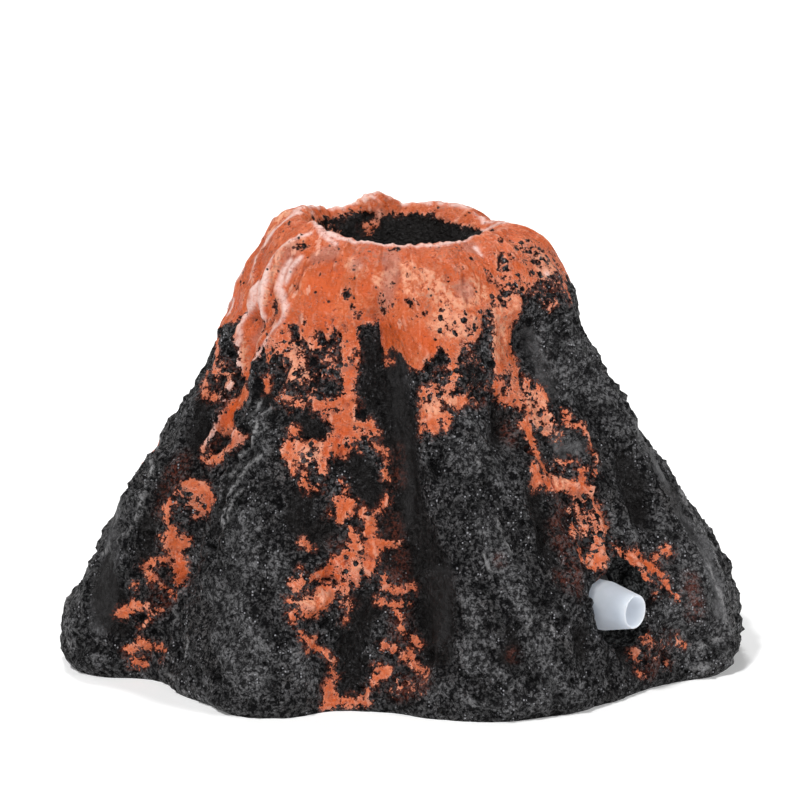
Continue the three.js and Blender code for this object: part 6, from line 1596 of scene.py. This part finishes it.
# outline of the recess seen straight down the inlet: right, up. It is closest in on the left.
RECESS_EDGE = np.array([
    (-0.95, 3.95), (0.02, 4.6), (0.87, 5.2), (1.72, 5.8), (2.77, 6.2), (3.94, 6.0), (4.96, 5.6),
    (5.77, 4.9), (6.3, 4.0), (6.5, 2.9), (6.7, 1.7), (6.9, 0.5), (6.7, -0.7), (6.17, -1.9),
    (5.52, -3.1), (4.96, -4.3), (4.05, -5.4), (2.66, -6.1), (0.93, -6.2), (-0.9, -5.6),
    (-2.1, -4.6), (-3.0, -3.4), (-3.7, -2.0), (-4.0, -0.5), (-4.1, 0.9), (-3.6, 2.1), (-2.5, 3.2),
])
RECESS_CLEAR_R = 3.78
BOSS_R, BOSS_FACE = 9.6, 9.2
GROMMET_R, GROMMET_BORE_R, GROMMET_FLANGE_R, GROMMET_FLANGE = 5.1, 3.8, 7.6, 1.5
TIP, TIP_R, ROOT_R, BORE_R, BARB_R, NOZZLE_LENGTH = 2.9, 2.5, 3.55, 1.6, 1.98, 22
HOSE_R, HOSE_BORE_R = 3.08, 2.15
STEM_R, STEM_BORE_R, STEM_FOOT_Z = 1.98, 1.1, 24.5
STONE_R, STONE_FOOT_Z, STONE_TOP_Z = 7, 34.3, 49
HOLDER_R, HOLDER_BORE_R, HOLDER_FLOOR_Z, HOLDER_TOP_Z = 8.5, 7.3, 32.6, 47
HOLDER_FLANGE_R, HOLDER_FLANGE_Z, HOLDER_HOLE_R = 11.6, 42.1, 3.4
GLUE_R, GLUE_SQUEEZE = 2.5, 0.55


def inlet_frame():
    """Stands a body made along +Z in the inlet, pointing out of the flank."""
    across = Vector((0, 0, 1)).cross(INLET_DIR).normalized()
    frame = Matrix((across, INLET_DIR.cross(across), INLET_DIR)).transposed().to_4x4()
    frame.translation = INLET
    return frame


IN_INLET = inlet_frame()
INLET_AT, OUTWARD, UP = np.array(INLET), np.array(INLET_DIR), np.array([0, 0, 1.0])
ACROSS = np.cross(UP, OUTWARD)


# --------------------------------------------------------------- the shell
def recess_outline(count):
    at = np.arange(count) * len(RECESS_EDGE) / count
    first = np.floor(at).astype(int)
    near = [RECESS_EDGE[(first + k) % len(RECESS_EDGE)] for k in (-1, 0, 1, 2)]
    return spline(*near, (at - first)[:, None])


def round_recess_mouth():
    """Sinks the rock a little along the edge of the recess."""
    offset = ROCK_POINTS - INLET_AT
    depth = offset @ OUTWARD
    aside = np.linalg.norm(offset - depth[:, None] * OUTWARD, axis=1)
    near = np.where((depth > -7) & (aside < 10))[0]
    flat = np.stack([offset[near] @ ACROSS, offset[near, 2]], -1)
    edge = recess_outline(90)
    away = path_distance(flat, np.concatenate([edge, edge[:1]]))
    ROCK_POINTS[near] -= NORMALS[near] * (0.30 * np.exp(-((away / 0.45) ** 2)))[:, None]


def skin_rings():
    """The outer skin, with a last ring down in the throat."""
    rings = ROCK_POINTS.reshape(len(ROW_PLACES), COLUMNS, 3)
    turn = np.radians(COLUMN_BEARINGS)
    level = np.full(COLUMNS, LEDGE_Z - 1.2)
    last = np.stack([THROAT_R * np.cos(turn), -THROAT_R * np.sin(turn), level], -1)
    return np.concatenate([rings, last[None]])


def flank_radius(bearing, z):
    radius, height, _, _ = section(np.linspace(0, 19, 800))
    z = np.maximum(z, 0)
    return np.interp(z, height, radius) * outline(bearing, z)


def build_cavity():
    levels = np.unique(np.concatenate([[-1, 44], np.linspace(0.2, 43.6, int(44 * FINE))]))
    bearing = np.arange(0, 360, 360 / int(150 * FINE))
    turn = np.radians(bearing)
    out = np.stack([np.cos(turn), -np.sin(turn), np.zeros(len(turn))], -1)
    rings = []
    for z, wall in zip(levels, np.interp(levels, CAVITY[:, 0], CAVITY[:, 1]) * WALL):
        centre = np.array([float(flank_centre(np.array(max(z, 0.0)))), 0, z])
        ring = centre + out * (flank_radius(bearing, z) - wall)[:, None]
        uneven = 0.38 * fbm(ring, 7.5, 71) + 0.16 * noise3(ring, 2.2, 73)
        # smooth near the ledge
        rings.append(ring + out * (uneven * (1 - float(smooth(z, 36, 41))))[:, None])
    return ring_solid("cavity", rings, CAVITY_RESIN)


def build_boss():
    """A round block behind the recess."""
    front = -BOSS_FACE + 5.2
    profile = [(0, -BOSS_FACE), (BOSS_R - 0.5, -BOSS_FACE), (BOSS_R, -BOSS_FACE + 0.5),
               (BOSS_R + 0.6, front), (0, front)]
    return lathe("boss", finer(profile, 1.2), int(72 * FINE), CAVITY_RESIN, IN_INLET)


def build_recess():
    """The hewn hollow round the nozzle: its floor, its wall and a run out past the flank."""
    edge = recess_outline(int(110 * FINE))
    # depth along the inlet, share of the outline
    walls = [(-RECESS_DEPTH, k) for k in np.arange(0.30, 0.95, 0.07)]
    walls += [(-RECESS_DEPTH + 0.35, 0.985)]
    walls += [(depth, 1) for depth in np.arange(-4.1, 2.6, 0.32)] + [(9, 1)]
    rings = []
    for depth, share in walls:
        ring = INLET_AT + edge[:, :1] * share * ACROSS + edge[:, 1:] * share * UP + OUTWARD * depth
        middle = INLET_AT + OUTWARD * depth
        out = ring - middle
        out /= np.linalg.norm(out, axis=1, keepdims=True)
        nearest, _, number = cells(ring, 1.5, 63)
        hewn = 0.30 * noise3(ring, 2.3, 61) + 0.15 * noise3(ring, 0.9, 65)
        hewn += 0.22 * (number - 0.5) * smooth(0.5 - nearest, 0, 0.2)
        ring = ring + out * (0.16 + hewn * smooth(share, 0.9, 0.99))[:, None]
        if share > 0.96:
            reach = np.linalg.norm(ring - middle, axis=1)
            ring += out * np.maximum(RECESS_CLEAR_R - reach, 0)[:, None]
        if 0.35 < share < 0.96:
            ring = ring + OUTWARD * (0.16 * noise3(ring, 1.2, 67))[:, None]
        rings.append(ring)
    return ring_solid("recess", rings, RECESS_ROCK)


def carry_fields(shell):
    """Gives the finished mesh the fields of the nearest grid points."""
    tree = kdtree.KDTree(len(ROCK_POINTS))
    for i, point in enumerate(ROCK_POINTS):
        tree.insert(point, i)
    tree.balance()
    points = vertices(shell)
    nearest = np.zeros(len(points), int)
    away = np.zeros(len(points))
    for k, point in enumerate(points):
        _, nearest[k], away[k] = tree.find(point)
    off = away > 0.3
    # what the cut faces, off the grid, read: no paint, calm relief and the full painted shade of a
    # hollow
    off_values = {"paint": -3.0, "calm": 1.0, "wash": -1.0}
    for name in ROCK_ATTRIBUTES:
        store(shell, name, np.where(off, off_values.get(name, 0.0), FIELDS[name][nearest]))
    # painted shade inside the crater, full on the cut faces
    crater = smooth(PLACE[nearest], 25.4, 26.6) * 0.9
    store(shell, "cave", np.where(off, 1.0, crater))


def build_shell():
    round_recess_mouth()
    rings = skin_rings()
    shell = ring_solid("volcano_shell_cast", rings, ROCK)
    skin = ring_solid("skin_copy", rings, ROCK)
    cut(shell, build_cavity())
    # the boss keeps inside the skin
    boss = build_boss()
    boolean(boss, skin, "INTERSECT")
    boolean(shell, boss, "UNION")
    cut(shell, build_recess())
    bore = [(0, -16), (INLET_BORE_R, -16), (INLET_BORE_R, -4.4), (0, -4.4)]
    cut(shell, lathe("bore", bore, int(80 * FINE), CAVITY_RESIN, IN_INLET))
    carry_fields(shell)
    smooth_shade(shell, 70)
    return shell


# ------------------------------------------------------------ the air inlet
def build_nozzle():
    shoulder = -BOSS_FACE - GROMMET_FLANGE - 0.9
    foot = -NOZZLE_LENGTH + TIP
    mouth, mouth_r = TIP - 3.0, TIP_R - 0.28
    barb_bore_r = BARB_R - 0.85
    profile = [
        (BORE_R, mouth), (mouth_r, TIP), (TIP_R - 0.05, TIP), (TIP_R, TIP - 0.3),
        (ROOT_R, TIP - 5.1), (ROOT_R, shoulder), (BARB_R, shoulder), (BARB_R - 0.15, foot + 2.2),
        (BARB_R, foot + 1.9), (BARB_R - 0.5, foot), (barb_bore_r, foot),
        (barb_bore_r, -BOSS_FACE), (BORE_R, -BOSS_FACE + 1.5),
    ][::-1]
    profile = finer(rounded(profile, 0.22, steps=4), 0.9)
    ob = lathe("inlet_nozzle_moulded", profile, 96, MILKY, IN_INLET)
    # "bore" is 1 on the wall of the bore and fades out just outside it
    offset = vertices(ob) - INLET_AT
    depth = offset @ OUTWARD
    radius = np.linalg.norm(offset - depth[:, None] * OUTWARD, axis=1)
    wall = np.interp(depth, [mouth, TIP], [BORE_R, mouth_r])
    store(ob, "bore", 1 - smooth(radius, wall + 0.03, wall + 0.16))
    smooth_shade(ob, 50)
    return ob


def build_grommet():
    face = -BOSS_FACE - 0.3
    back = face - GROMMET_FLANGE
    front = -RECESS_DEPTH - 0.2
    profile = [
        (GROMMET_BORE_R, front), (GROMMET_BORE_R, back), (GROMMET_FLANGE_R - 0.4, back),
        (GROMMET_FLANGE_R, face - 0.4), (GROMMET_FLANGE_R, face), (GROMMET_R, face),
        (GROMMET_R, -RECESS_DEPTH - 0.6), (GROMMET_R - 0.4, front),
    ]
    profile = finer(rounded(profile, 0.25), 0.8)
    ob = lathe("inlet_grommet_rubber", profile, 80, BLACK_RUBBER, IN_INLET)
    smooth_shade(ob, 50)
    return ob


def build_sealant():
    """A bead round the flange of the grommet."""
    profile = [
        (GROMMET_FLANGE_R + 0.95 + 0.72 * math.cos(t), -BOSS_FACE - 0.95 + 0.62 * math.sin(t))
        for t in np.linspace(0, 2 * math.pi, 19)
    ]
    profile[-1] = profile[0]
    ob = lathe("inlet_sealant_bead", profile, 110, SEALANT, IN_INLET)
    points = vertices(ob)
    push(ob, -0.09 + 0.10 * noise3(points, 2.4, 81) + 0.05 * noise3(points, 0.9, 83))
    smooth_shade(ob)
    return ob


def hose_path():
    """Straight over the barb of the nozzle, then a curve up to the stem."""
    start = INLET_AT - OUTWARD * (BOSS_FACE + GROMMET_FLANGE + 1.45)
    bend = INLET_AT - OUTWARD * (NOZZLE_LENGTH - TIP + 0.6)
    rise = STEM_FOOT_Z - 0.4
    top = np.array([0, 0, rise])
    p0, p1, p2, p3 = bend, bend - OUTWARD * 11, np.array([0, 0, rise - 10.5]), top
    t = np.linspace(0, 1, 34)[:, None]
    curve = (1 - t) ** 3 * p0 + 3 * t * (1 - t) ** 2 * p1 + 3 * t * t * (1 - t) * p2 + t**3 * p3
    straight = start + (bend - start) * np.linspace(0, 1, 10)[:-1, None]
    return np.concatenate([straight, curve, top + UP * np.linspace(0.7, 7.2, 9)[:, None]])


def build_hose():
    sides = 40
    path = hose_path()
    tangents = np.gradient(path, axis=0)
    tangents /= np.linalg.norm(tangents, axis=1, keepdims=True)
    turn = (np.arange(sides) * 2 * math.pi / sides)[:, None]
    x = np.cross(tangents[0], [0.3, 0.2, 1.0])
    x /= np.linalg.norm(x)
    spokes = []
    for tangent in tangents:
        x = x - tangent * (x @ tangent)
        x /= np.linalg.norm(x)
        spokes.append(np.cos(turn) * x + np.sin(turn) * np.cross(tangent, x))

    def ring(k, radius, shift=0.0):
        return path[k] + spokes[k] * radius + tangents[k] * shift

    # out along a slightly wavy outside, round the lip, back inside and round the first lip
    count = len(path)
    lip = 0.12
    rings = [ring(0, HOSE_R - 0.14, -lip)]
    rings += [ring(k, HOSE_R * (1 + 0.006 * math.sin(k * 0.9) * 0.5)) for k in range(count)]
    rings += [ring(-1, HOSE_R - 0.14, lip), ring(-1, HOSE_BORE_R + lip, lip)]
    rings += [ring(k, HOSE_BORE_R) for k in reversed(range(count))]
    rings += [ring(0, HOSE_BORE_R + lip, -lip)]
    faces = [f for i in range(len(rings)) for f in band(i, (i + 1) % len(rings), sides)]
    ob = new_object("air_hose_soft", np.concatenate(rings), faces, HOSE)
    bm = bmesh.new()
    bm.from_mesh(ob.data)
    outward_faces(bm, ob.data)
    smooth_shade(ob, 60)
    return ob


# ------------------------------------------------- the stone and its holder
def build_stem():
    foot, floor_z, stone_z = STEM_FOOT_Z, HOLDER_FLOOR_Z, STONE_FOOT_Z
    neck_r, collar_r = STEM_R - 0.2, STEM_R + 0.75
    profile = [
        (STEM_BORE_R, foot), (STEM_R - 0.5, foot), (STEM_R, foot + 1.9), (neck_r, foot + 2.2),
        (neck_r, foot + 3.2), (STEM_R, foot + 5.1), (neck_r, foot + 5.4), (neck_r, floor_z - 0.5),
        (collar_r, floor_z - 0.5), (collar_r, stone_z - 0.2), (STEM_R, stone_z - 0.2),
        (STEM_R, stone_z + 5.6), (STEM_BORE_R, stone_z + 5.6),
    ]
    ob = lathe("stone_stem_moulded", finer(rounded(profile, 0.16), 1.0), 56, STEM)
    smooth_shade(ob, 50)
    return ob


def build_stone():
    foot, top, radius = STONE_FOOT_Z, STONE_TOP_Z, STONE_R - 0.06
    hole_r = STEM_R + 0.15
    profile = [
        (hole_r, foot), (radius - 0.8, foot), (radius, foot + 0.8), (radius, top - 1.6),
        (radius - 0.5, top - 0.6), (radius - 1.6, top - 0.06), (0, top - 0.06), (0, foot + 6),
        (hole_r, foot + 6),
    ]
    # only the ends of the run along the axis are kept
    points = []
    for point in finer(rounded(profile, 0.3), 0.3)[:-1]:
        if len(points) > 1 and max(point[0], points[-1][0], points[-2][0]) <= 1e-6:
            points[-1] = point
        else:
            points.append(point)
    ob = lathe("air_stone_sintered", points + [points[0]], 132, STONE)
    # grains on the outside, none in the hole for the stem
    at = vertices(ob)
    z = at[:, 2]
    outside = smooth(np.hypot(at[:, 0], at[:, 1]), hole_r, STEM_R + 0.7)
    outside = outside * smooth(z, foot - 0.1, foot + 0.6)
    outside = np.where(z > foot + 7, 1.0, outside)
    nearest, second, number = cells(at, 0.85, 91)
    grain = 0.09 * (number - 0.5) + 0.09 * noise3(at, 0.6, 93)
    push(ob, outside * (grain - 0.10 * smooth(0.16 - (second - nearest), 0, 0.16)))
    smooth_shade(ob)
    return ob


def build_holder():
    """A cup with a flange under the ledge of the shell."""
    floor_z, flange_z, ledge = HOLDER_FLOOR_Z, HOLDER_FLANGE_Z, LEDGE_Z - 0.3
    profile = [
        (HOLDER_HOLE_R, floor_z), (HOLDER_R - 0.6, floor_z), (HOLDER_R, floor_z + 0.6),
        (HOLDER_R, flange_z), (HOLDER_FLANGE_R, flange_z), (HOLDER_FLANGE_R, ledge),
        (HOLDER_R, ledge), (HOLDER_R, HOLDER_TOP_Z), (HOLDER_BORE_R, HOLDER_TOP_Z),
        (HOLDER_BORE_R, floor_z + 1.4), (HOLDER_HOLE_R, floor_z + 1.4),
    ]
    ob = lathe("stone_holder_moulded", finer(rounded(profile, 0.25), 1.0), 96, HOLDER)
    smooth_shade(ob, 50)
    return ob


def build_glue(name, bearing, seed):
    """A dab hanging under the ledge beside the holder's flange, narrow across the flange."""
    profile = [
        (0, -2.3), (0.7, -2.26), (1.3, -2.1), (1.8, -1.8), (2.2, -1.4), (2.4, -0.95),
        (GLUE_R, -0.5), (2.46, -0.2), (2.3, 0), (1.1, 0), (0, 0),
    ]
    top = LEDGE_Z - 0.25
    out = HOLDER_FLANGE_R + 0.25 + GLUE_R * GLUE_SQUEEZE
    place = (
        Matrix.Rotation(-math.radians(bearing), 4, "Z")
        @ Matrix.Translation((out, 0, top))
        @ Matrix.Diagonal((GLUE_SQUEEZE, 1, 1, 1))
    )
    ob = lathe(name, finer(profile, 0.35), 44, GLUE, place)
    points = vertices(ob)
    uneven = -0.14 + 0.16 * noise3(points, 1.9, seed) + 0.07 * noise3(points, 0.9, seed + 3)
    push(ob, smooth(top - points[:, 2], 0.0, 0.5) * uneven)
    smooth_shade(ob)
    return ob


# object, CAD piece it replaces, body it rides on, material slot
PIECES = [
    (build_shell(), "volcano_shell", "volcano", "cast_resin"),
    (build_nozzle(), "inlet_nozzle", "nozzle", "milky_plastic"),
    (build_grommet(), "inlet_grommet", "volcano", "black_rubber"),
    (build_sealant(), "inlet_sealant", "volcano", "clear_silicone"),
    (build_hose(), "air_hose", "volcano", "hose_plastic"),
    (build_stem(), "stone_stem", "stone", "stem_plastic"),
    (build_stone(), "air_stone", "stone", "sintered_stone"),
    (build_holder(), "stone_holder", "volcano", "holder_plastic"),
]
for side, bearing, seed in (("front", 95, 101), ("left", 215, 111), ("right", 335, 121)):
    node = "holder_glue_" + side
    PIECES.append((build_glue(node + "_dab", bearing, seed), node, "volcano", "hot_glue"))
for ob, node, body, slot in PIECES:
    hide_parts(node)
    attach(ob, body)


# --------------------------------------------------------------- the studio
FLOOR_HALF, FLOOR_Z = 20000, -0.03


def floor_material():
    sh = Shader("paper_floor")
    sh.set(
        Base_Color=sh.tints(40, 3, (0.90, 0.90, 0.90), (0.93, 0.93, 0.93)),
        Roughness=0.9,
        Specular_IOR_Level=0.1,
        Emission_Color=(1.0, 1.0, 1.0),
        Emission_Strength=0.16,
    )
    return sh.mat


corners = [(x * FLOOR_HALF, y * FLOOR_HALF, FLOOR_Z) for x, y in ((-1, -1), (1, -1), (1, 1), (-1, 1))]
floor = new_object("floor", corners, [(0, 1, 2, 3)], origin=0)
floor.data.materials.append(floor_material())

world = bpy.data.worlds.new("studio")
bpy.context.scene.world = world
world.use_nodes = True
background = world.node_tree.nodes["Background"]
background.inputs["Color"].default_value = (1.0, 1.0, 1.0, 1)
background.inputs["Strength"].default_value = 0.16


def sun(name, bearing, elevation, strength, spread):
    """A broad soft light. Bearing 0 shines from the front, 90 from the right."""
    lamp = bpy.data.lights.new(name, "SUN")
    lamp.energy = strength
    lamp.angle = math.radians(spread)
    ob = bpy.data.objects.new(name, lamp)
    turn, lift = math.radians(bearing), math.radians(elevation)
    towards = Vector((
        math.sin(turn) * math.cos(lift), -math.cos(turn) * math.cos(lift), math.sin(lift),
    ))
    ob.rotation_euler = towards.to_track_quat("Z", "Y").to_euler()
    bpy.context.scene.collection.objects.link(ob)


sun("key", bearing=-34, elevation=52, strength=2.5, spread=8)
sun("fill", bearing=58, elevation=34, strength=1.08, spread=14)
sun("sheen", bearing=190, elevation=56, strength=1.4, spread=12)

CAMERA_TARGET = Vector((0.3655, 0, 38.4))
CAMERA_BACK = 700.0
CAMERA_TILT = math.radians(12.5)
lens = bpy.data.cameras.new("camera")
lens.sensor_width = 36
lens.lens = 215.46
lens.clip_end = 60
camera = bpy.data.objects.new("camera", lens)
back = Vector((0, -math.cos(CAMERA_TILT), math.sin(CAMERA_TILT)))
camera.location = CAMERA_TARGET * MM + Vector(AXIS) * MM + back * CAMERA_BACK * MM
camera.rotation_euler = (math.pi / 2 - CAMERA_TILT, 0, 0)
bpy.context.scene.collection.objects.link(camera)
bpy.context.scene.camera = camera
bpy.context.scene.view_settings.view_transform = "Standard"
